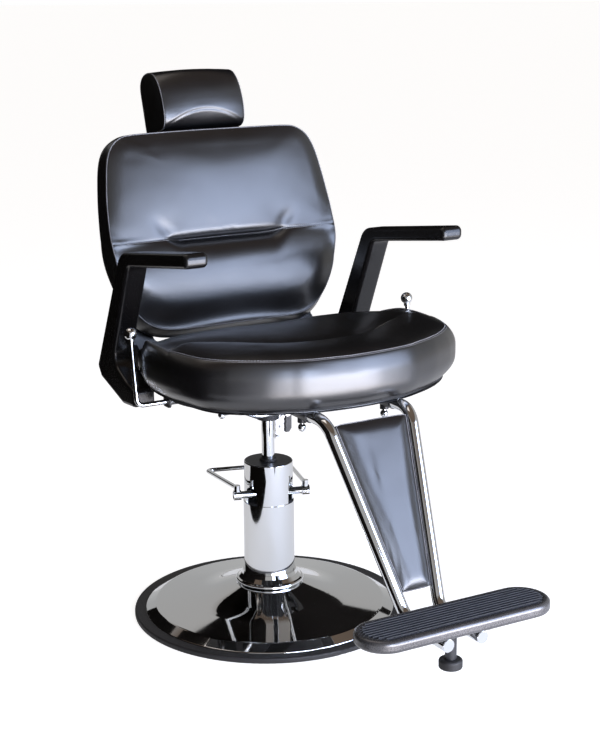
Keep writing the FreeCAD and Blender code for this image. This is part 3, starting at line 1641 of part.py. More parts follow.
def make_footrest():
    body = new_body("footrest")
    sketch = foot_outline(new_sketch(body, "XY_Plane", foot_bottom), as_size(0))
    block = pad(body, sketch, s.foot_height)
    rounded = round_edges(body, block, 8, flat_at(z_axis, foot_bottom, foot_top))
    body.Tip = rounded
    recess = foot_outline(new_sketch(body, "XY_Plane", foot_top), s.tread_inset)
    cut_through(body, recess, s.tread_depth, both_ways=False)
    finished(body, "footrest")


def make_footrest_tread():
    # A rubber mat in the recess, with ribs along the foot rest.
    body = new_body("footrest_tread")
    inset = s.tread_inset + s.clearance
    low = foot_top - s.tread_depth
    mat = foot_outline(new_sketch(body, "XY_Plane", low), inset)
    pad(body, mat, s.tread_depth - 1)
    radius = s.foot_depth / 2 - inset
    straight = s.foot_half - s.foot_depth / 2
    ribs = new_sketch(body, "XY_Plane", low + s.tread_depth - 1.2)
    for n in range(-4, 5):
        across = n * s.tread_pitch
        edge = as_size(abs(n)) * s.tread_pitch + s.tread_rib / 2
        reach = straight + root(radius * radius - edge * edge) - 3
        draw_lines(ribs, [
            (-reach, -foot_y + across - s.tread_rib / 2),
            (reach, -foot_y + across - s.tread_rib / 2),
            (reach, -foot_y + across + s.tread_rib / 2),
            (-reach, -foot_y + across + s.tread_rib / 2),
        ])
    pad(body, ribs, 2.4)
    finished(body, "footrest_tread")


def make_footrest_plate():
    # A plate on the leg tubes, with the peg that the foot rest stands on when it is lowered.
    half = s.leg_foot_x + s.leg_tube + 16
    at = (-half, -leg_toe + 2, foot_plate_bottom)
    size = (half * 2, leg_toe - foot_y + 32, s.foot_plate_wall)
    plate = box("footrest_plate_block", size, at)
    low = s.bumper_bottom + s.bumper_height - peg_socket
    peg = cylinder("stop_peg", s.peg_radius, foot_plate_bottom + 1 - low, (0, -foot_y + 8, low))
    finished(joined("footrest_plate", [plate, peg]), "footrest_plate")


def make_footrest_bolts():
    bolts = []
    across = s.leg_foot_x + s.leg_tube + 8
    for n, (side, end) in enumerate(((-1, -1), (-1, 1), (1, -1), (1, 1))):
        at = (side * across, -foot_y - 5 + end * 22, foot_plate_bottom - 4)
        bolts.append(hexagon_head("footrest_bolt_%d" % (n + 1), 6, 4, at))
    finished(group("footrest_bolts", bolts), "footrest_bolts")


def make_bumper():
    body = new_body("bumper", (0, -foot_y + 8, s.bumper_bottom))
    turned(body, [
        (0, 0),
        (s.bumper_radius, 0, 4),
        (s.bumper_radius, s.bumper_height, 5),
        (s.peg_radius, s.bumper_height),
        (s.peg_radius, s.bumper_height - peg_socket),
        (0, s.bumper_height - peg_socket),
    ])
    finished(body, "bumper")


make_floor_ring()
make_base_plate()
make_ballast()
make_column_tube()
make_base_collar()
make_column_sleeve()
make_column_cap()
make_wiper_seal()
make_pump_reservoir()
make_pump_cylinder()
make_pump_head()
make_pump_shaft()
make_shaft_clamps()
make_pump_loop()
make_plunger()
make_piston()
make_thrust_washer()
make_hub_nut()
make_swivel_hub()
make_seat_plate()
make_seat_frame()
make_hub_bolts()
make_arm_brackets()
make_seat_board()
make_seat_cushion()
make_arms()
make_back_cushion()
make_back_board()
make_back_frame()
make_pivot_bolts()
make_back_screws()
make_head_guide()
make_head_bar()
make_head_cushion()
make_lock_cylinder()
make_lock_rod()
make_recline_lever()
make_lever_knobs()
make_lever_brackets()
make_brake_plate()
make_brake_housing()
make_brake_bolts()
make_brake_lever()
make_leg_tubes()
make_leg_sockets()
make_socket_bar()
make_clamp_knobs()
make_calf_pad()
make_calf_board()
make_calf_straps()
make_footrest()
make_footrest_tread()
make_footrest_plate()
make_footrest_bolts()
make_bumper()

doc.recompute()

# Nothing is written unless every object is sound.
for thing in doc.Objects:
    if "Invalid" in thing.State or "Error" in thing.State:
        raise RuntimeError("%s (%s) failed: %s" % (thing.Name, thing.Label, thing.State))
for thing in sub_parts:
    if thing.Shape.isNull() or not thing.Shape.isValid():
        raise RuntimeError("%s has no sound shape" % thing.Label)

os.makedirs("parts", exist_ok=True)
for thing in sub_parts:
    thing.Shape.exportStep("parts/%s.step" % thing.Label)
    print("%-22s %2d solid(s), %10.0f mm3" % (thing.Label, len(thing.Shape.Solids), thing.Shape.Volume))
print("%d sub-parts written" % len(sub_parts))
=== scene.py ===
import bpy
import math
from mathutils import Matrix, Vector, noise
from mathutils.bvhtree import BVHTree
from mathutils.kdtree import KDTree


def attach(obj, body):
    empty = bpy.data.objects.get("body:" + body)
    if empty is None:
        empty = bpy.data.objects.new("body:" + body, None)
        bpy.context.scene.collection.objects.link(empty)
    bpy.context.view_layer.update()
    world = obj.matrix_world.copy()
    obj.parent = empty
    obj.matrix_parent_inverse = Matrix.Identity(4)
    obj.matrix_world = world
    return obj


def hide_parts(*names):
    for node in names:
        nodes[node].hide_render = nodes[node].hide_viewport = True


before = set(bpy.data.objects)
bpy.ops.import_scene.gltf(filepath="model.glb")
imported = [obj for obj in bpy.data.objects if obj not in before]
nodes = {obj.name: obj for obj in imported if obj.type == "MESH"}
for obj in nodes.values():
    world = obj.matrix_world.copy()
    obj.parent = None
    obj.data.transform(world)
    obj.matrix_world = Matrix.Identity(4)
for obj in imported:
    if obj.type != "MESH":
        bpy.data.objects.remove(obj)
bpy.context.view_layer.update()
scene = bpy.context.scene
print("frame loaded,", len(nodes), "nodes")


# Shader maths: a socket that takes part in Python expressions

class Sock:
    def __init__(self, tree, out):
        self.tree = tree
        self.out = out

    def math(self, operation, *others, clamp=False):
        node = self.tree.nodes.new("ShaderNodeMath")
        node.operation = operation
        node.use_clamp = clamp
        for slot, value in zip(node.inputs, (self,) + others):
            plug(self.tree, slot, value)
        return Sock(self.tree, node.outputs[0])

    def __add__(self, other):
        return self.math("ADD", other)

    def __sub__(self, other):
        return self.math("SUBTRACT", other)

    def __mul__(self, other):
        return self.math("MULTIPLY", other)

    def clamp(self):
        return self.math("ADD", 0.0, clamp=True)


def plug(tree, slot, value):
    if isinstance(value, Sock):
        tree.links.new(value.out, slot)
    else:
        slot.default_value = value


class Nodes:
    # One node tree: node() adds a node, its settings first and then its sockets.
    def __init__(self, tree):
        self.tree = tree

    def node(self, kind, settings=None, sockets=None, out=0):
        made = self.tree.nodes.new(kind)
        for key, value in (settings or {}).items():
            if key == "stops":
                ramp = made.color_ramp
                while len(ramp.elements) < len(value):
                    ramp.elements.new(0.5)
                for element, (place, colour) in zip(ramp.elements, value):
                    element.position = place
                    element.color = colour
            else:
                setattr(made, key, value)
        for key, value in (sockets or {}).items():
            plug(self.tree, made.inputs[key], value)
        return Sock(self.tree, made.outputs[out])

    def place(self):
        # Where a point lies in its object, in metres.
        return self.node("ShaderNodeTexCoord", out=3)

    def noise(self, scale, detail=3.0, rough=0.55):
        sockets = {"Vector": self.place(), "Scale": scale, "Detail": detail, "Roughness": rough}
        return self.node("ShaderNodeTexNoise", None, sockets)

    def ramp(self, value, *stops):
        full = [(p, c if len(c) == 4 else (*c, 1.0)) for p, c in stops]
        return self.node("ShaderNodeValToRGB", {"stops": full}, {"Fac": value})

    def grey(self, value, low, high, a=0.0, b=1.0):
        return self.node("ShaderNodeMapRange", {"clamp": True},
                         {"Value": value, "From Min": low, "From Max": high, "To Min": a, "To Max": b})

    def mix(self, factor, a, b):
        # Sockets 6 and 7 of this node take the two colours, and output 2 gives theirs.
        made = self.tree.nodes.new("ShaderNodeMix")
        made.data_type = "RGBA"
        plug(self.tree, made.inputs[0], factor)
        for slot, value in ((made.inputs[6], a), (made.inputs[7], b)):
            plug(self.tree, slot, value if isinstance(value, Sock) else (*value[:3], 1.0))
        return Sock(self.tree, made.outputs[2])

    def bump(self, height, strength, distance):
        sockets = {"Height": height, "Strength": strength, "Distance": distance}
        return self.node("ShaderNodeBump", None, sockets)


class Finish(Nodes):
    # One material with a single surface shader.
    def __init__(self, name):
        self.mat = bpy.data.materials.new(name)
        self.mat.use_nodes = True
        super().__init__(self.mat.node_tree)
        self.shader = self.tree.nodes["Principled BSDF"]

    def set(self, **values):
        for key, value in values.items():
            plug(self.tree, self.shader.inputs[key.replace("_", " ")], value)
        return self


def rgba(r, g, b):
    return (r, g, b, 1.0)


# The part of a noise's range that is spread over a look's low and high values
noiseLow, noiseHigh = 0.3, 0.7


def chromeFinish(name, look):
    f = Finish(name)
    haze = f.noise(look["hazeScale"], detail=4.0)
    rough = f.grey(haze, look["hazeLow"], noiseHigh, look["roughLow"], look["roughHigh"])
    fine = f.noise(look["fineScale"], detail=2.0)
    return f.set(Base_Color=rgba(*look["colour"]), Metallic=1.0, Roughness=rough,
                 Normal=f.bump(fine, look["bump"], distance=0.0005))


def leatherFinish(name, look):
    f = Finish(name)
    pebble = f.node("ShaderNodeTexVoronoi", {"feature": "F1"},
                    {"Vector": f.place(), "Scale": look["grainScale"], "Randomness": 1.0})
    crease = f.noise(look["creaseScale"], detail=5.0, rough=0.6)
    cloud = f.noise(look["cloudScale"])
    colour = f.ramp(cloud, (noiseLow, look["dark"]), (noiseHigh, look["light"]))
    rough = f.grey(cloud, noiseLow, noiseHigh, look["roughLow"], look["roughHigh"])
    height = pebble * look["grainShare"] + crease * (1 - look["grainShare"])
    f.set(Base_Color=colour, Roughness=rough, Normal=f.bump(height, look["bump"], distance=0.0006))
    return f.set(Coat_Weight=look["coat"], Coat_Roughness=look["coatRough"],
                 Specular_IOR_Level=look["shine"])


def treadFinish(name, look):
    # Lighter lines along the ribs of the foot rest's mat, their brightness broken up by a noise.
    f = mouldedFinish(name, look)
    place = f.node("ShaderNodeSeparateXYZ", None, {"Vector": f.place()}, 1)
    ridge = ((place - look["from"]) * (1 / look["pitch"])).math("FRACT")
    line = f.grey((ridge - 0.5).math("ABSOLUTE"), look["lineIn"], look["lineOut"])
    patchiness = f.grey(f.noise(look["patchinessScale"]), noiseLow, noiseHigh, look["patchinessLow"], 1.0)
    return f.set(Base_Color=f.mix(line * patchiness, look["dark"], look["line"]))


def mouldedFinish(name, look):
    f = Finish(name)
    speck = f.noise(look["speckScale"])
    cloud = f.noise(look["cloudScale"], detail=2.0)
    colour = f.ramp(cloud, (noiseLow, look["dark"]), (noiseHigh, look["light"]))
    rough = f.grey(speck, noiseLow, noiseHigh, look["roughLow"], look["roughHigh"])
    return f.set(Base_Color=colour, Roughness=rough, Metallic=look.get("metal", 0.0),
                 Normal=f.bump(speck, look["bump"], distance=0.0005))


chromeLook = {
    "colour": (0.78, 0.79, 0.8), "hazeScale": 9.0, "hazeLow": 0.35, "fineScale": 300.0,
    "roughLow": 0.03, "roughHigh": 0.07, "bump": 0.02,
}
steelLook = {
    "colour": (0.5, 0.5, 0.51), "hazeScale": 20.0, "hazeLow": 0.35, "fineScale": 500.0,
    "roughLow": 0.22, "roughHigh": 0.36, "bump": 0.02,
}
leatherLook = {
    "grainScale": 900.0, "creaseScale": 60.0, "grainShare": 0.6, "cloudScale": 7.0,
    "dark": (0.0026, 0.0023, 0.0024), "light": (0.0042, 0.0037, 0.0042),
    "roughLow": 0.29, "roughHigh": 0.35, "bump": 0.14, "coat": 0.3, "coatRough": 0.26, "shine": 1.0,
}
armLook = {
    "speckScale": 500.0, "cloudScale": 8.0, "dark": (0.004, 0.0035, 0.0035),
    "light": (0.006, 0.0055, 0.0055), "roughLow": 0.2, "roughHigh": 0.28, "bump": 0.1,
}
rubberLook = {
    "speckScale": 400.0, "cloudScale": 12.0, "dark": (0.012, 0.011, 0.011),
    "light": (0.02, 0.018, 0.018), "roughLow": 0.5, "roughHigh": 0.65, "bump": 0.15,
}
boardLook = {
    "speckScale": 900.0, "cloudScale": 20.0, "dark": (0.008, 0.008, 0.008),
    "light": (0.013, 0.013, 0.013), "roughLow": 0.75, "roughHigh": 0.9, "bump": 0.2,
}
paintLook = {
    "speckScale": 350.0, "cloudScale": 14.0, "dark": (0.012, 0.012, 0.013),
    "light": (0.022, 0.022, 0.024), "roughLow": 0.3, "roughHigh": 0.42, "bump": 0.08,
}
castLook = {
    "speckScale": 260.0, "cloudScale": 18.0, "dark": (0.03, 0.03, 0.032),
    "light": (0.06, 0.06, 0.063), "roughLow": 0.5, "roughHigh": 0.7, "bump": 0.4, "metal": 0.6,
}
rimLook = {
    "speckScale": 420.0, "cloudScale": 10.0, "dark": (0.1, 0.097, 0.097),
    "light": (0.15, 0.145, 0.145), "roughLow": 0.22, "roughHigh": 0.34, "bump": 0.1, "metal": 0.7,
}
treadLook = {
    "speckScale": 400.0, "cloudScale": 12.0, "dark": (0.02, 0.021, 0.025),
    "light": (0.03, 0.031, 0.035), "roughLow": 0.4, "roughHigh": 0.5, "bump": 0.15,
    "line": (0.3, 0.31, 0.34), "from": -0.700, "pitch": 0.009, "lineIn": 0.36, "lineOut": 0.42,
    "patchinessScale": 60.0, "patchinessLow": 0.6,
}
# The seam cords' light grey is a painted highlight: it stands in for the lit edges along the pads' seams.
cordHighlightLook = {
    "speckScale": 700.0, "cloudScale": 30.0, "dark": (0.11, 0.105, 0.105),
    "light": (0.2, 0.195, 0.2), "roughLow": 0.35, "roughHigh": 0.5, "bump": 0.1,
}
threadLook = {
    "speckScale": 900.0, "cloudScale": 40.0, "dark": (0.24, 0.235, 0.24),
    "light": (0.36, 0.355, 0.36), "roughLow": 0.5, "roughHigh": 0.7, "bump": 0.1,
}

chrome = chromeFinish("polishedChrome", chromeLook)
steel = chromeFinish("machinedSteel", steelLook)
leather = leatherFinish("blackLeatherette", leatherLook)
armPlastic = mouldedFinish("armUrethane", armLook)
rubber = mouldedFinish("ringRubber", rubberLook)
paint = mouldedFinish("blackPaint", paintLook)
board = mouldedFinish("coveredBoard", boardLook)
cast = mouldedFinish("castIron", castLook)
rimMetal = mouldedFinish("footrestMetal", rimLook)
tread = treadFinish("footrestTread", treadLook)
# Finish of the seam cords, whose light grey colour is a painted highlight along the seams.
seamCordHighlight = mouldedFinish("seamCordHighlight", cordHighlightLook)
thread = mouldedFinish("sewingThread", threadLook)

finishOf = {
    chrome: ["base_plate", "column_tube", "base_collar", "column_sleeve", "pump_loop", "shaft_clamps",
             "piston", "leg_tube_left", "leg_tube_right", "leg_screw_left", "leg_screw_right",
             "recline_lever", "lever_knobs", "brake_lever", "head_bar", "pump_shaft", "hub_nut",
             "brake_bolts"],
    steel: ["pump_cylinder", "plunger", "hub_bolts", "arm_screws", "pivot_bolts", "back_screws",
            "brake_plate", "lock_rod", "thrust_washer"],
    cast: ["ballast", "pump_reservoir", "pump_head", "swivel_hub"],
    paint: ["seat_plate", "seat_frame", "arm_brackets", "back_frame", "lock_cylinder", "lever_brackets",
            "leg_sockets", "socket_bar", "head_guides", "calf_straps", "column_cap", "brake_housing",
            "footrest_bolts", "footrest_plate"],
    armPlastic: ["arm_left", "arm_right"],
    leather: ["seat_cushion", "back_cushion", "head_cushion", "calf_pad"],
    board: ["seat_board", "back_board", "calf_board"],
    rubber: ["floor_ring", "bumper", "wiper_seal"],
    tread: ["footrest_tread"],
    rimMetal: ["footrest"],
}
for finish, names in finishOf.items():
    for name in names:
        materials = nodes[name].data.materials
        materials.clear()
        materials.append(finish.mat)
print("materials set")


# Soft pieces: a closed pad grown from its rim line, inflated a little, then sewn

def mm(values):
    return [v * 0.001 for v in values]


def smoothStep(low, high, value):
    x = min(1.0, max(0.0, (value - low) / (high - low)))
    return x * x * (3 - 2 * x)


def bell(value, width):
    return math.exp(-(value / width) ** 2)


def rounded(value, width, power):
    # Rises from 0 to 1 over the width, steep at first.
    return 1 - (1 - min(value / width, 1)) ** power


def table(value, pairs):
    # Smooth steps between pairs of (place, amount).
    if value <= pairs[0][0]:
        return pairs[0][1]
    for (x0, y0), (x1, y1) in zip(pairs, pairs[1:]):
        if value <= x1:
            return y0 + (y1 - y0) * smoothStep(x0, x1, value)
    return pairs[-1][1]


def mirrored(half):
    # Right-hand points from the lowest to the highest become a closed loop.
    left = [(-x, y) for x, y in reversed(half) if x > 0.001]
    return half + left


def smoothLine(points, closed, spacing, perSpan=24):
    # A Catmull-Rom line through the points, as evenly spaced points.
    pts = [Vector(p) for p in points]
    count = len(pts)
    fine = []
    for i in range(count if closed else count - 1):
        p1, p2 = pts[i], pts[(i + 1) % count]
        p0 = pts[i - 1] if closed or i > 0 else p1 * 2 - p2
        p3 = pts[(i + 2) % count] if closed or i + 2 < count else p2 * 2 - p1
        for k in range(perSpan):
            t = k / perSpan
            fine.append(0.5 * ((2 * p1) + (p2 - p0) * t + (2 * p0 - 5 * p1 + 4 * p2 - p3) * t * t
                               + (3 * p1 - p0 - 3 * p2 + p3) * t ** 3))
    if not closed:
        fine.append(pts[-1])
    return evenly(fine, closed, spacing)


def evenly(fine, closed, spacing):
    # A whole number for the spacing is the number of points, any other one their distance.
    loop = fine + [fine[0]] if closed else fine
    lengths = [0.0]
    for a, b in zip(loop, loop[1:]):
        lengths.append(lengths[-1] + (b - a).length)
    total = lengths[-1]
    count = spacing if isinstance(spacing, int) else max(2, round(total / spacing))
    steps = count if closed else count - 1
    out, j = [], 0
    for i in range(count):
        goal = total * i / steps
        while j < len(loop) - 2 and lengths[j + 1] < goal:
            j += 1
        share = (goal - lengths[j]) / max(1e-9, lengths[j + 1] - lengths[j])
        out.append(loop[j].lerp(loop[j + 1], min(1.0, max(0.0, share))))
    return out


def startRight(loop, centre):
    # The loop begins straight to the right of the centre and runs anticlockwise.
    area = sum(a.x * b.y - b.x * a.y for a, b in zip(loop, loop[1:] + loop[:1]))
    if area < 0:
        loop = loop[::-1]
    turns = [abs(math.atan2(p.y - centre.y, p.x - centre.x)) for p in loop]
    first = turns.index(min(turns))
    return loop[first:] + loop[:first]


def lineTree(points):
    # Finds the nearest of some plan points.
    tree = KDTree(len(points))
    for i, p in enumerate(points):
        tree.insert((p.x, p.y, 0), i)
    tree.balance()
    return tree


class Rim:
    # The seam line of a pad: evenly spaced points, their outward normals and the nearest point.
    finer = 4

    def __init__(self, points, half, centre):
        self.count = 8 * half
        self.centre = Vector(centre)
        self.points = startRight(smoothLine(points, True, self.count), self.centre)
        self.normals = []
        for i in range(self.count):
            along = self.points[(i + 1) % self.count] - self.points[i - 1]
            self.normals.append(Vector((along.y, -along.x)).normalized())
        many = self.count * self.finer
        self.tree = lineTree([self.at(i / many) for i in range(many)])

    def at(self, t):
        where = (t % 1.0) * self.count
        i = int(where) % self.count
        return self.points[i].lerp(self.points[(i + 1) % self.count], where - int(where))

    def nearest(self, p):
        spot, index, away = self.tree.find((p.x, p.y, 0))
        return Vector((spot.x, spot.y)), away


def ringShare(i, j):
    # Which square ring a grid point lies on, and how far round that ring.
    k = max(abs(i), abs(j))
    if k == 0:
        return 0, 0.0
    if i == k and j >= 0:
        step = j
    elif j == k:
        step = 2 * k - i
    elif i == -k:
        step = 4 * k - j
    elif j == -k:
        step = 6 * k + i
    else:
        step = 8 * k + j
    return k, step / (8 * k)


def padMesh(name, rim, spec, top, side, under):
    # top and under turn a plan point and its share of the way to the rim into a height.
    # side turns a share down and a rim point and normal into a plan point and a height.
    half, rows = spec["half"], spec["rows"]
    verts, faces = [], []

    def cap(height, known):
        index = {}
        for i in range(-half, half + 1):
            for j in range(-half, half + 1):
                k, t = ringShare(i, j)
                if k == half:
                    index[i, j] = known[round(t * rim.count) % rim.count]
                    continue
                share = 1 - (1 - k / half) ** spec["crowd"]
                plan = rim.centre + (rim.at(t) - rim.centre) * share
                index[i, j] = len(verts)
                verts.append((plan.x, plan.y, height(plan, share)))
        return index

    rings = []
    for m in range(rows + 1):
        ring = []
        for i in range(rim.count):
            plan, height = side(m / rows, rim.points[i], rim.normals[i])
            ring.append(len(verts))
            verts.append((plan.x, plan.y, height))
        rings.append(ring)
    upper = cap(top, rings[0])
    firstLow = len(verts)
    lower = cap(under, rings[-1])
    seam = list(rings[0])
    floorSide = rings[-1] + list(range(firstLow, len(verts)))
    for i in range(-half, half):
        for j in range(-half, half):
            square = [(i, j), (i + 1, j), (i + 1, j + 1), (i, j + 1)]
            faces.append([upper[s] for s in square])
            faces.append([lower[s] for s in reversed(square)])
    for a, b in zip(rings, rings[1:]):
        for i in range(rim.count):
            n = (i + 1) % rim.count
            faces.append([a[i], b[i], b[n], a[n]])
    mesh = bpy.data.meshes.new(name)
    mesh.from_pydata([mm(v) for v in verts], [], faces)
    mesh.validate()
    obj = bpy.data.objects.new(name, mesh)
    scene.collection.objects.link(obj)
    return obj, seam, floorSide


clothSet = {"bending": 20, "stretch": 12, "damping": 2, "steps": 16, "evenTurns": 6}


def evened(moves, edges):
    # Each move becomes the mean of itself and its neighbours'.
    total = [move.copy() for move in moves]
    count = [1] * len(moves)
    for edge in edges:
        a, b = edge.vertices
        total[a] += moves[b]
        total[b] += moves[a]
        count[a] += 1
        count[b] += 1
    return [t / n for t, n in zip(total, count)]


def puff(obj, pins, pressure, cap):
    # Air pressure rounds the panels between their pinned seams, each point moving at most cap metres.
    group = obj.vertex_groups.new(name="pins")
    for index, weight in pins.items():
        group.add([index], weight, "REPLACE")
    cloth = obj.modifiers.new("puff", "CLOTH")
    cloth.settings.vertex_group_mass = "pins"
    cloth.settings.use_pressure = True
    cloth.settings.uniform_pressure_force = pressure
    cloth.settings.effector_weights.gravity = 0
    cloth.settings.bending_stiffness = clothSet["bending"]
    cloth.settings.tension_stiffness = clothSet["stretch"]
    cloth.settings.compression_stiffness = clothSet["stretch"]
    cloth.settings.air_damping = clothSet["damping"]
    for frameNumber in range(1, clothSet["steps"] + 1):
        scene.frame_set(frameNumber)
    shaped = obj.evaluated_get(bpy.context.evaluated_depsgraph_get()).data
    moves = [b.co - a.co for a, b in zip(obj.data.vertices, shaped.vertices)]
    obj.modifiers.remove(cloth)
    obj.vertex_groups.remove(group)
    scene.frame_set(1)
    for turn in range(clothSet["evenTurns"]):
        moves = evened(moves, obj.data.edges)
    far = 0.0
    for vertex, move in zip(obj.data.vertices, moves):
        far = max(far, move.length)
        if move.length > 1e-9:
            vertex.co += move * (cap * math.tanh(move.length / cap) / move.length)
    print(obj.name, "puffed, largest move before the cap %.1f mm" % (far * 1000))


def refine(obj):
    # One subdivision, applied.
    obj.modifiers.new("finer", "SUBSURF").levels = 1
    fine = bpy.data.meshes.new_from_object(obj.evaluated_get(bpy.context.evaluated_depsgraph_get()))
    obj.modifiers.clear()
    obj.data = fine
    for polygon in fine.polygons:
        polygon.use_smooth = True


def ripple(obj, amount, size, seed):
    # Slight unevenness of a stuffed cover, along the normals: a coarse noise and a finer one.
    away = Vector((seed * 3.1, seed * 1.7, seed * 0.9))
    normals = [vertex.normal.copy() for vertex in obj.data.vertices]
    for vertex, normal in zip(obj.data.vertices, normals):
        p = vertex.co / size + away
        vertex.co += normal * (noise.noise(p) * 0.7 + noise.noise(p * 2.3) * 0.3) * amount


def strand(name, lines, radius, finish, body, closed=False):
    # A cord or a row of stitches: one curve object with a spline for each line.
    curve = bpy.data.curves.new(name, "CURVE")
    curve.dimensions = "3D"
    curve.bevel_depth = radius
    curve.bevel_resolution = 2
    curve.use_fill_caps = True
    for line in lines:
        spline = curve.splines.new("POLY")
        spline.points.add(len(line) - 1)
        for point, co in zip(spline.points, line):
            point.co = (*co, 1)
        spline.use_cyclic_u = closed
        spline.use_smooth = True
    obj = bpy.data.objects.new(name, curve)
    scene.collection.objects.link(obj)
    obj.data.materials.append(finish.mat)
    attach(obj, body)
    return obj


class Skin:
    # Finds the surface of a finished pad along its local height.
    def __init__(self, obj):
        self.tree = BVHTree.FromObject(obj, bpy.context.evaluated_depsgraph_get())
        self.matrix = obj.matrix_world

    def on(self, x, u, lift=0.0):
        spot, normal, index, away = self.tree.ray_cast(Vector((x, u, 1)), Vector((0, 0, -1)))
        if spot is None:
            spot, normal, index, away = self.tree.find_nearest(Vector((x, u, 0)))
        return self.matrix @ (spot + normal * lift)

    def near(self, point, lift=0.0):
        spot, normal, index, away = self.tree.find_nearest(Vector(point))
        return self.matrix @ (spot + normal * lift)


def seamLoop(skin, rim, height, out):
    # The line of a pad's edge seam on its finished surface.
    return [skin.near(mm((p.x, p.y, height(p))), out) for p in rim.points]


# How far a thread lies above the cover, and the step of the line it's cut from
threadLift, threadStep = 0.0002, 0.0005


def stitches(line, length=0.0038, gap=0.0014):
    # Splits a fine line of world points into short threads.
    out, run = [], 0.0
    current = [line[0]]
    sewing = True
    for a, b in zip(line, line[1:]):
        run += (b - a).length
        if sewing:
            current.append(b)
            if run >= length:
                out.append(current)
                sewing, run = False, 0.0
        elif run >= gap:
            current, sewing, run = [b], True, 0.0
    return [s for s in out if len(s) > 1]


# Seat cushion

seatSet = {
    "half": 44, "rows": 14, "crowd": 1.15, "centre": (0, -120),
    "outline": [(0, -388), (100, -378), (150, -361), (200, -337), (250, -301), (286, -258), (306, -195),
                (312, -130), (309, -70), (294, -20), (274, 22), (266, 58), (260, 90), (240, 110),
                (205, 116), (100, 117), (0, 117)],
    "crescent": [(0, -256), (64, -250), (120, -226), (180, -181), (232, -147), (272, -137), (298, -150),
                 (311, -168)],
    # Heights of the seam round the top, and where it falls to the rear
    "seamTop": 662, "rearDrop": 61, "seamFall": (-70, 125),
    # Heights of the panel behind the crescent seam and of the roll in front of it
    "panelTop": 665.5, "rollTop": 673.5, "rollRise": (-4, 22),
    "panelDip": 4, "dip": (-170, -20), "panelRearDrop": 53, "panelFall": (-130, 130),
    "fullHalf": 300, "fullShift": 90, "edgeWidth": 62, "edgeRound": 2.4,
    "valley": 5.5, "valleyFront": 9, "valleyRear": 30,
    # The boxing below the seam
    "frontBottom": 556, "rearBottom": 560, "bottomStep": (-300, -220),
    "shoulder": 0.36, "bulge": 11, "sideBulge": 19, "sideNormal": (0.5, 0.9), "bulgeRound": 2.1,
    "rearBulge": 1.5, "rearStart": (-110, 20), "tuckUnder": 16, "tuckFrom": 0.55, "tuckRound": 2.4,
    "rearTuck": 0.5, "boardLevel": 565, "boardStep": (9, 26),
    "pressure": 3.0, "cap": 0.006, "uneven": 0.0008, "unevenSize": 0.09, "pinWidth": 5, "pinWeight": 0.9,
    "panelAbove": 0.64, "groove": 0.0016, "grooveWidth": 3.2,
    "cordRadius": 0.0006, "cordUp": 1.5, "cordOut": -0.0003, "edgeStitchIn": 4.5, "edgeThread": 0.0007,
    "rowOffset": 3.0, "rowThread": 0.00065, "rowClear": 6,
}


def seatSeamHeight(spec, y):
    return spec["seamTop"] - spec["rearDrop"] * smoothStep(*spec["seamFall"], y)


def seatBottomHeight(spec, y):
    step = smoothStep(*spec["bottomStep"], y)
    return spec["frontBottom"] + (spec["rearBottom"] - spec["frontBottom"]) * step


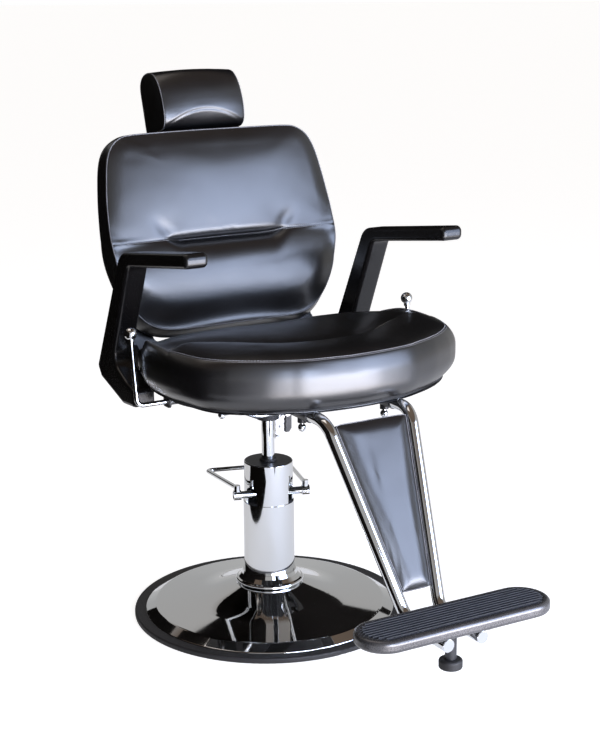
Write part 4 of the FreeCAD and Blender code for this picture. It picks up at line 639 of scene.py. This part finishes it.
def makeSeat(spec):
    rim = Rim(mirrored(spec["outline"]), spec["half"], spec["centre"])
    half = spec["crescent"]
    crescent = smoothLine([(-x, y) for x, y in reversed(half[1:])] + half, False, 2.0)
    crescentTree = lineTree(crescent)

    def beyondCrescent(plan):
        # Distance from the crescent seam, positive on the front roll.
        spot, index, away = crescentTree.find((plan.x, plan.y, 0))
        before = crescent[max(0, index - 1)]
        after = crescent[min(len(crescent) - 1, index + 1)]
        along = after - before
        across = along.x * (plan.y - spot.y) - along.y * (plan.x - spot.x)
        return away if across < 0 else -away

    def frontOf(vertex):
        return beyondCrescent(Vector((vertex.co.x * 1000, vertex.co.y * 1000)))

    def top(plan, share):
        spot, away = rim.nearest(plan)
        seam = seatSeamHeight(spec, spot.y)
        front = beyondCrescent(plan)
        full = max(0, 1 - (plan.x / spec["fullHalf"]) ** 4)
        fallFrom, fallTo = spec["panelFall"]
        level = spec["panelTop"] - spec["panelDip"] * smoothStep(*spec["dip"], plan.y)
        level -= spec["panelRearDrop"] * smoothStep(fallFrom + spec["fullShift"] * full, fallTo, plan.y)
        level += (spec["rollTop"] - spec["panelTop"]) * smoothStep(*spec["rollRise"], front)
        level -= spec["valley"] * bell(front, spec["valleyFront"] if front > 0 else spec["valleyRear"])
        return seam + (level - seam) * rounded(away, spec["edgeWidth"], spec["edgeRound"])

    def side(down, point, normal):
        seam = seatSeamHeight(spec, point.y)
        bottom = seatBottomHeight(spec, point.y)
        rear = smoothStep(*spec["rearStart"], point.y)
        sideways = smoothStep(*spec["sideNormal"], abs(normal.x))
        bulge = spec["bulge"] + (spec["sideBulge"] - spec["bulge"]) * sideways
        bulge += (spec["rearBulge"] - bulge) * rear
        out = bulge * rounded(down, spec["shoulder"], spec["bulgeRound"])
        low = max(0, (down - spec["tuckFrom"]) / (1 - spec["tuckFrom"]))
        out -= (spec["tuckUnder"] + bulge) * low ** spec["tuckRound"] * (1 - spec["rearTuck"] * rear)
        return point + normal * out, seam + (bottom - seam) * down

    def under(plan, share):
        spot, away = rim.nearest(plan)
        bottom = seatBottomHeight(spec, spot.y)
        return bottom + (spec["boardLevel"] - bottom) * smoothStep(*spec["boardStep"], away)

    obj, seam, floorSide = padMesh("seatCover", rim, spec, top, side, under)
    pins = {i: 1.0 for i in seam + floorSide}
    for i, vertex in enumerate(obj.data.vertices):
        if i not in pins:
            close = bell(abs(frontOf(vertex)), spec["pinWidth"])
            pins[i] = spec["pinWeight"] * close if vertex.co.z > spec["panelAbove"] else 0.0
    puff(obj, pins, spec["pressure"], spec["cap"])
    refine(obj)
    ripple(obj, spec["uneven"], spec["unevenSize"], 1)
    for vertex in obj.data.vertices:
        if vertex.co.z > spec["panelAbove"]:
            vertex.co.z -= spec["groove"] * bell(frontOf(vertex), spec["grooveWidth"])
    obj.data.materials.append(leather.mat)
    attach(obj, "seat")
    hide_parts("seat_cushion")

    skin = Skin(obj)
    edge = seamLoop(skin, rim, lambda p: seatSeamHeight(spec, p.y) + spec["cordUp"], spec["cordOut"])
    strand("seatSeamCord", [edge], spec["cordRadius"], seamCordHighlight, "seat", closed=True)
    fine = smoothLine([tuple(p) for p in rim.points], True, 1.0)
    inner = [p + (rim.centre - p).normalized() * spec["edgeStitchIn"] for p in fine]
    row = [skin.on(*mm((p.x, p.y)), lift=threadLift) for p in inner]
    strand("seatEdgeStitches", stitches(row), spec["edgeThread"], thread, "seat")
    for way, name in ((1, "Rear"), (-1, "Front")):
        line = []
        for a, b in zip(crescent, crescent[1:]):
            along = (b - a).normalized()
            p = a + Vector((-along.y, along.x)) * way * spec["rowOffset"]
            if rim.nearest(p)[1] > spec["rowClear"]:
                line.append(skin.on(*mm((p.x, p.y)), lift=threadLift))
        line = evenly(line, False, threadStep)
        strand("seatCrescentStitches" + name, stitches(line), spec["rowThread"], thread, "seat")


# Back cushion, laid out upright about its pivot and then leaned

backFrame = {"pivot": (0, 0.150, 0.548), "lean": 17}


def leanedMatrix(spec):
    lean = math.radians(spec["lean"])
    x, y, z = spec["pivot"]
    return Matrix(((1, 0, 0, x),
                   (0, math.sin(lean), -math.cos(lean), y),
                   (0, math.cos(lean), math.sin(lean), z),
                   (0, 0, 0, 1)))


backMatrix = leanedMatrix(backFrame)

backSet = {
    "half": 44, "rows": 10, "crowd": 1.2, "centre": (0, 262),
    "outline": [(0, 71), (90, 71), (142, 72.5), (178, 78), (207, 92), (231, 116), (250, 148),
                (264, 193), (273, 240), (275, 285), (271, 345), (263, 405), (254, 448), (240, 476),
                (218, 493), (188, 499), (100, 500.5), (0, 501)],
    # Height of the edge seam along the sides, and in the middle of the lower edge
    "sideSeam": [(70, 31), (88, 31), (130, 38), (185, 50), (242, 58), (300, 53), (360, 50), (501, 50)],
    "bottomCentre": 50, "bottomHalf": 222, "bottomStep": (75, 150),
    # How far the sides stand out between the seam and the rear, and more so along the lower edge
    "rear": -5.6, "boxing": 3.0, "boxingRound": 0.8, "boxingIn": 2.0, "boxingInFrom": 0.85,
    "lowBoxing": 15, "lowNormal": (0.2, 0.9),
    # The tuck across the back: a deep middle part between two stitched ends
    "tuckAt": 267, "tuckHalf": 136, "tuckFade": (20, 34), "tuckDepth": 21, "seamDepth": 1,
    # Its width above and below: at the ends, and what the deep part adds
    "tuckAbove": (4, 2), "tuckBelow": (7, 12), "tuckBelowRound": 1.25,
    "puckerDepth": 4.5, "puckerLength": 30, "puckerWidth": 15, "puckerAt": (12, 20),
    "halfWidth": 255, "upper": 60, "upperCrown": 9, "upperTurn": 5, "upperAt": 385, "upperReach": 110,
    "lumbar": 78, "lumbarCrown": 19, "lumbarAt": 205, "lumbarTurn": 0.0023,
    "edgeWidth": 38, "lowEdgeExtra": 26, "lowEdge": (230, 120), "edgeRound": 2.3,
    "pressure": 2.0, "cap": 0.004, "uneven": 0.0005, "unevenSize": 0.1, "pinWidth": 6, "pinWeight": 0.95,
    "pinAbove": 0.03, "groove": 0.0015, "grooveWidth": 3.0, "grooveAbove": 35, "grooveClear": 3,
    # How far the upper panel laps down over the tuck, and its lip, with their places and widths
    "overlap": 0.0075, "overlapAt": 7, "overlapWidth": 6, "lip": 0.001, "lipAt": 3, "lipWidth": 3,
    "cordRadius": 0.0013, "cordUp": 1.0, "cordOut": 0.0002,
    "rowStart": 6, "rowLength": 100, "rowOffset": 2.6, "rowClear": 3, "rowThread": 0.00045,
}


diagonal = 0.7071


def backSeamHeight(spec, p):
    side = table(p.y, spec["sideSeam"])
    low = spec["sideSeam"][0][1]
    across = 0.5 + 0.5 * math.cos(math.pi * min(abs(p.x) / spec["bottomHalf"], 1))
    bottom = low + (spec["bottomCentre"] - low) * across
    return bottom + (side - bottom) * smoothStep(*spec["bottomStep"], p.y)


def makeBack(spec):
    rim = Rim(mirrored(spec["outline"]), spec["half"], spec["centre"])

    def tuck(x):
        # 1 in the deep middle part of the tuck, 0 at the stitched ends.
        outer, inner = spec["tuckFade"]
        return smoothStep(-spec["tuckHalf"] - outer, inner - spec["tuckHalf"], -abs(x))

    def pucker(plan):
        # Folds that run up and out from the ends of the tuck.
        depth = 0
        out, up = spec["puckerAt"]
        for end in (-1, 1):
            dx, dy = plan.x - end * (spec["tuckHalf"] + out), plan.y - spec["tuckAt"] - up
            along, across = (dx * end + dy) * diagonal, (dx * end - dy) * diagonal
            depth += bell(along, spec["puckerLength"]) * bell(across, spec["puckerWidth"])
        return spec["puckerDepth"] * depth

    def top(plan, share):
        spot, away = rim.nearest(plan)
        seam = backSeamHeight(spec, spot)
        above = plan.y - spec["tuckAt"]
        wide = 1 - (plan.x / spec["halfWidth"]) ** 2
        deep = tuck(plan.x)
        upper = spec["upper"] + spec["upperCrown"] * wide
        upper -= spec["upperTurn"] * ((plan.y - spec["upperAt"]) / spec["upperReach"]) ** 2
        lumbar = spec["lumbar"] - spec["lumbarCrown"] * (1 - wide)
        lumbar -= spec["lumbarTurn"] * (plan.y - spec["lumbarAt"]) ** 2
        groove = spec["upper"] - spec["seamDepth"] - spec["tuckDepth"] * deep
        width, extra = spec["tuckAbove"] if above > 0 else spec["tuckBelow"]
        reach = abs(above) / (width + extra * deep)
        if above > 0:
            level = upper - (upper - groove) * math.exp(-reach ** 2)
        else:
            level = lumbar - (lumbar - groove) * math.exp(-reach ** spec["tuckBelowRound"])
        level -= pucker(plan)
        width = spec["edgeWidth"] + spec["lowEdgeExtra"] * smoothStep(*spec["lowEdge"], plan.y)
        return seam + (level - seam) * rounded(away, width, spec["edgeRound"])

    def side(down, point, normal):
        seam = backSeamHeight(spec, point)
        out = spec["boxing"] * math.sin(math.pi * down) ** spec["boxingRound"]
        out -= spec["boxingIn"] * smoothStep(spec["boxingInFrom"], 1, down)
        out += spec["lowBoxing"] * down * smoothStep(*spec["lowNormal"], -normal.y)
        return point + normal * out, seam + (spec["rear"] - seam) * down

    def under(plan, share):
        return spec["rear"]

    obj, seam, floorSide = padMesh("backCover", rim, spec, top, side, under)
    pins = {i: 1.0 for i in seam + floorSide}
    for i, vertex in enumerate(obj.data.vertices):
        if i not in pins:
            close = bell(vertex.co.y * 1000 - spec["tuckAt"], spec["pinWidth"])
            pins[i] = spec["pinWeight"] * close if vertex.co.z > spec["pinAbove"] else 0.0
    puff(obj, pins, spec["pressure"], spec["cap"])
    refine(obj)
    ripple(obj, spec["uneven"], spec["unevenSize"], 2)
    for vertex in obj.data.vertices:
        x, v, h = (c * 1000 for c in vertex.co)
        above = v - spec["tuckAt"]
        if h > spec["grooveAbove"] and rim.nearest(Vector((x, v)))[1] > spec["grooveClear"]:
            vertex.co.z -= spec["groove"] * bell(above, spec["grooveWidth"])
            lap = spec["overlap"] * tuck(x) * bell(above - spec["overlapAt"], spec["overlapWidth"])
            vertex.co.y -= lap + spec["lip"] * bell(above - spec["lipAt"], spec["lipWidth"])
    obj.data.materials.append(leather.mat)
    obj.matrix_world = backMatrix
    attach(obj, "backrest")
    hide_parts("back_cushion")

    bpy.context.view_layer.update()
    skin = Skin(obj)
    edge = seamLoop(skin, rim, lambda p: backSeamHeight(spec, p) + spec["cordUp"], spec["cordOut"])
    strand("backSeamCord", [edge], spec["cordRadius"], seamCordHighlight, "backrest", closed=True)
    for end, word in ((-1, "Right"), (1, "Left")):
        for way, name in ((1, "Upper"), (-1, "Lower")):
            line = []
            for step in range(2 * spec["rowLength"]):
                p = Vector((end * (spec["tuckHalf"] + spec["rowStart"] + step / 2),
                            spec["tuckAt"] + way * spec["rowOffset"]))
                if rim.nearest(p)[1] > spec["rowClear"]:
                    line.append(skin.on(*mm((p.x, p.y)), lift=threadLift))
            line = evenly(line, False, threadStep)
            strand("back%sStitches%s" % (word, name), stitches(line), spec["rowThread"], thread, "backrest")


# Head rest pillow: its profile is the plan and its width the height

headSet = {
    "half": 20, "rows": 30, "crowd": 1.15, "centre": (12, 576),
    "profile": [(-14, 511), (-27, 516), (-36, 529), (-40, 550), (-39, 575), (-35, 598), (-26, 619),
                (-11, 636), (12, 645), (36, 645), (54, 637), (64, 620), (66, 590), (66, 550), (65, 522),
                (60, 513), (40, 511)],
    "seamAt": 98, "sideCrown": 5.0, "sideRound": 3, "crownRound": 2.4,
    "frontCrown": 9.0, "frontNormal": (0.2, 0.85), "topCrown": 3.0, "topNormal": (0.4, 0.9),
    # The fold below the front: an arc that is highest in the middle
    "foldLow": 513, "foldRise": 34, "foldSlope": 0.55, "foldGroove": 2.0, "foldWidth": 3,
    "foldReach": 20, "foldDepth": (5, -15),
    "pinBelow": 0.5145, "pinBehind": 0.062,
    "pressure": 2.0, "cap": 0.003, "uneven": 0.0006, "unevenSize": 0.06,
    "cordRadius": 0.0010, "cordUp": 0.6, "cordOut": 0.0001,
}


def makeHead(spec):
    rim = Rim(spec["profile"], spec["half"], spec["centre"])

    def panel(share):
        return spec["seamAt"] + spec["sideCrown"] * (1 - share ** spec["sideRound"])

    def top(plan, share):
        return panel(share)

    def side(down, point, normal):
        # across runs from 1 at the left panel to -1 at the right one.
        across = 1 - 2 * down
        crown = spec["frontCrown"] * smoothStep(*spec["frontNormal"], -normal.x)
        crown += spec["topCrown"] * smoothStep(*spec["topNormal"], normal.y)
        out = crown * (1 - abs(across) ** spec["crownRound"])
        return point + normal * out, spec["seamAt"] * across

    def under(plan, share):
        return -panel(share)

    obj, seam, floorSide = padMesh("headCover", rim, spec, top, side, under)
    pins = {i: 1.0 for i in seam + floorSide[:rim.count]}
    for i, vertex in enumerate(obj.data.vertices):
        if i not in pins and (vertex.co.y < spec["pinBelow"] or vertex.co.x > spec["pinBehind"]):
            pins[i] = 1.0
    puff(obj, pins, spec["pressure"], spec["cap"])
    refine(obj)
    ripple(obj, spec["uneven"], spec["unevenSize"], 3)
    for vertex in obj.data.vertices:
        depth, v, across = (c * 1000 for c in vertex.co)
        if depth < spec["foldDepth"][0]:
            fold = spec["foldLow"] + spec["foldRise"] * (1 - min(1, abs(across) / spec["seamAt"]) ** 2)
            inward = spec["foldSlope"] * max(0, fold - v)
            inward += spec["foldGroove"] * bell(fold - v, spec["foldWidth"])
            vertex.co.x += 0.001 * min(inward, spec["foldReach"]) * smoothStep(*spec["foldDepth"], depth)
    obj.data.materials.append(leather.mat)
    # The pad's height becomes the chair's width, and its x the depth in front of the back.
    sideways = Matrix(((0, 0, 1, 0), (0, 1, 0, 0), (-1, 0, 0, 0), (0, 0, 0, 1)))
    obj.matrix_world = backMatrix @ sideways
    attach(obj, "headrest")
    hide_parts("head_cushion")

    bpy.context.view_layer.update()
    skin = Skin(obj)
    for sign, word in ((1, "Left"), (-1, "Right")):
        edge = seamLoop(skin, rim, lambda p: sign * (spec["seamAt"] + spec["cordUp"]), spec["cordOut"])
        strand("head%sSeamCord" % word, [edge], spec["cordRadius"], seamCordHighlight, "headrest", closed=True)


# Calf pad, laid out along the leg tubes

calfSet = {
    "knee": (0, -0.408, 0.545), "down": (0, -195, -348), "half": 22, "rows": 5, "crowd": 1.2,
    "centre": (0, -160),
    "outline": [(0, -345.5), (20, -345.5), (28, -344.5), (32, -339), (41, -282), (56, -180), (68, -95),
                (79.5, -17), (78, -10.5), (68, -8.5), (34, -8.2), (0, -8)],
    "seam": 3.0, "face": 12.0, "rear": -6.2, "edgeWidth": 30, "edgeRound": 2.2, "boxing": 0.5,
    "pressure": 1.0, "cap": 0.0008, "uneven": 0.0005, "unevenSize": 0.07,
    "cordRadius": 0.0009, "cordUp": 0.6, "cordOut": 0.0001,
}


def makeCalf(spec):
    rim = Rim(mirrored(spec["outline"]), spec["half"], spec["centre"])

    def top(plan, share):
        spot, away = rim.nearest(plan)
        rise = rounded(away, spec["edgeWidth"], spec["edgeRound"])
        return spec["seam"] + (spec["face"] - spec["seam"]) * rise

    def side(down, point, normal):
        out = spec["boxing"] * math.sin(math.pi * down)
        return point + normal * out, spec["seam"] + (spec["rear"] - spec["seam"]) * down

    def under(plan, share):
        return spec["rear"]

    obj, seam, floorSide = padMesh("calfCover", rim, spec, top, side, under)
    puff(obj, {i: 1.0 for i in seam + floorSide}, spec["pressure"], spec["cap"])
    refine(obj)
    ripple(obj, spec["uneven"], spec["unevenSize"], 4)
    obj.data.materials.append(leather.mat)
    up = -Vector(spec["down"]).normalized()
    face = Vector((1, 0, 0)).cross(up)
    knee = spec["knee"]
    obj.matrix_world = Matrix(((1, up.x, face.x, knee[0]), (0, up.y, face.y, knee[1]),
                               (0, up.z, face.z, knee[2]), (0, 0, 0, 1)))
    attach(obj, "leg_rest")
    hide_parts("calf_pad")
    bpy.context.view_layer.update()
    skin = Skin(obj)
    edge = seamLoop(skin, rim, lambda p: spec["seam"] + spec["cordUp"], spec["cordOut"])
    strand("calfSeamCord", [edge], spec["cordRadius"], seamCordHighlight, "leg_rest", closed=True)


makeSeat(seatSet)
makeBack(backSet)
makeHead(headSet)
makeCalf(calfSet)
print("soft pieces made")


# Camera, floor and light

cameraSet = {
    "place": (-1.6290, -2.9639, 1.4087), "azimuth": -29.99, "pitch": 14.47, "roll": -0.42,
    "lens": 77.95, "sensor": 36.0, "far": 50,
}


def makeCamera(spec):
    data = bpy.data.cameras.new("camera")
    data.lens = spec["lens"]
    data.sensor_width = spec["sensor"]
    cam = bpy.data.objects.new("camera", data)
    scene.collection.objects.link(cam)
    a, e = math.radians(spec["azimuth"]), math.radians(spec["pitch"])
    back = Vector((math.sin(a) * math.cos(e), -math.cos(a) * math.cos(e), math.sin(e)))
    cam.rotation_mode = "QUATERNION"
    turn = (-back).to_track_quat("-Z", "Y")
    roll = Matrix.Rotation(math.radians(spec["roll"]), 4, "Z").to_quaternion()
    cam.rotation_quaternion = turn @ roll
    cam.location = spec["place"]
    data.clip_end = spec["far"]
    scene.camera = cam


makeCamera(cameraSet)

stageSet = {
    "floorHalf": 150.0, "floorColour": (0.62, 0.62, 0.62), "glow": 0.82, "mirrored": 0.5,
    # Name, two ends on the floor plan, lowest and highest point
    "flags": [("flagFront", (-1.3, -1.2), (-1.15, 0.6), (0.02, 1.5)),
              ("flagLeft", (-1.15, 0.6), (-0.1, 2.4), (0.02, 1.5)),
              ("flagBack", (-0.2, 0.72), (1.7, 0.72), (0.63, 2.6)),
              ("flagSeat", (-0.4, 0.4), (0.62, 0.4), (0.5, 0.95))],
    # Name and two opposite corners on the floor plan
    "mats": [("matLeft", (-1.3, -0.75), (-0.62, 0.55)),
             ("matRear", (0.35, 0.75), (0.62, 1.6)),
             ("matFront", (-2.6, -4.2), (-1.1, -1.3))],
    "matHeight": 0.012, "flagColour": (0.006, 0.005, 0.004),
}


def seenBy(obj, **kinds):
    # Which rays see the object: all but the ones set to False.
    for kind, seen in kinds.items():
        setattr(obj, "visible_" + kind, seen)


def stagePlane(name, corners, finish):
    mesh = bpy.data.meshes.new(name)
    mesh.from_pydata(corners, [], [(0, 1, 2, 3)])
    obj = bpy.data.objects.new(name, mesh)
    scene.collection.objects.link(obj)
    obj.data.materials.append(finish.mat)
    return obj


def makeFloor(spec):
    f = Finish("floorPaper")
    kinds = ("Is Camera Ray", "Is Glossy Ray", "Is Transmission Ray")
    camera, glossy, through = [f.node("ShaderNodeLightPath", out=kind) for kind in kinds]
    seen = (camera + glossy * spec["mirrored"] + through).clamp()
    f.set(Base_Color=rgba(*spec["floorColour"]), Roughness=0.9, Specular_IOR_Level=0.2,
          Emission_Color=f.mix(seen, (0, 0, 0), (1, 1, 1)), Emission_Strength=spec["glow"])
    h = spec["floorHalf"]
    stagePlane("floor", [(-h, -h, 0), (h, -h, 0), (h, h, 0), (-h, h, 0)], f)


def makeFlags(spec):
    # Dark boards and mats round the chair, which only reflections see.
    f = Finish("flagCloth")
    f.set(Base_Color=rgba(*spec["flagColour"]), Roughness=1.0, Specular_IOR_Level=0.0)
    for name, a, b, (low, high) in spec["flags"]:
        flag = stagePlane(name, [(*a, low), (*b, low), (*b, high), (*a, high)], f)
        seenBy(flag, camera=False, diffuse=False, transmission=False, shadow=False)
    for name, (x0, y0), (x1, y1) in spec["mats"]:
        z = spec["matHeight"]
        mat = stagePlane(name, [(x0, y0, z), (x1, y0, z), (x1, y1, z), (x0, y1, z)], f)
        seenBy(mat, camera=False, diffuse=False, transmission=False, shadow=False)


makeFloor(stageSet)
makeFlags(stageSet)

lampSet = {
    "window": {"at": (1.75, -2.9, 1.4), "to": (0, 0, 1.1), "size": (2.0, 2.5), "glow": 6.8,
               "colour": (0.58, 0.7, 1.0)},
    "sideWindow": {"at": (-0.2, -3.5, 1.15), "to": (0, 0, 0.8), "size": (1.5, 1.3), "glow": 11.0,
                   "colour": (0.62, 0.73, 1.0)},
    "floorGlare": {"at": (0.4, -1.95, 0.03), "to": (0.4, -1.9, 1.0), "size": (2.1, 1.5), "glow": 7.0,
                   "colour": (1.0, 0.94, 0.95)},
    "lowPanel": {"at": (0.42, -2.75, 0.3), "to": (0.1, -0.4, 0.6), "size": (2.8, 0.55), "glow": 13.5,
                 "colour": (0.86, 0.88, 1.0)},
    "overhead": {"at": (-0.6, 0.6, 3.4), "to": (0, 0, 0.5), "size": (2.0, 2.0), "glow": 1.0,
                 "colour": (1.0, 0.93, 0.88)},
}


def makeLamps(lamps):
    # glow is how bright the lamp's own face looks.
    for name, spec in lamps.items():
        data = bpy.data.lights.new(name, "AREA")
        data.shape = "RECTANGLE"
        data.size, data.size_y = spec["size"]
        data.energy = spec["glow"] * math.pi * data.size * data.size_y
        data.color = spec["colour"]
        lamp = bpy.data.objects.new(name, data)
        scene.collection.objects.link(lamp)
        lamp.location = spec["at"]
        lamp.rotation_mode = "QUATERNION"
        lamp.rotation_quaternion = (Vector(spec["to"]) - Vector(spec["at"])).to_track_quat("-Z", "Y")
        lamp.visible_camera = False


makeLamps(lampSet)

roomSet = {
    # Colours from straight down, 0, to straight up, 1; the camera itself sees white
    "stops": [(0.5, (0.5, 0.5, 0.5)), (0.6, (0.42, 0.42, 0.42)), (0.78, (0.42, 0.41, 0.4)),
              (0.86, (0.12, 0.09, 0.07)), (1.0, (0.16, 0.12, 0.09))],
    "strength": 1.0,
}


def makeRoom(spec):
    world = bpy.data.worlds.new("studio")
    scene.world = world
    world.use_nodes = True
    n = Nodes(world.node_tree)
    up = n.node("ShaderNodeSeparateXYZ", None, {"Vector": n.node("ShaderNodeTexCoord", out=0)}, 2)
    background = world.node_tree.nodes["Background"]
    seen = n.node("ShaderNodeLightPath", out="Is Camera Ray")
    shade = n.ramp(n.grey(up, -1.0, 1.0), *spec["stops"])
    plug(n.tree, background.inputs["Color"], n.mix(seen, shade, (1, 1, 1)))
    background.inputs["Strength"].default_value = spec["strength"]


makeRoom(roomSet)
print("floor, lamps and room made")

scene.view_settings.view_transform = "Standard"
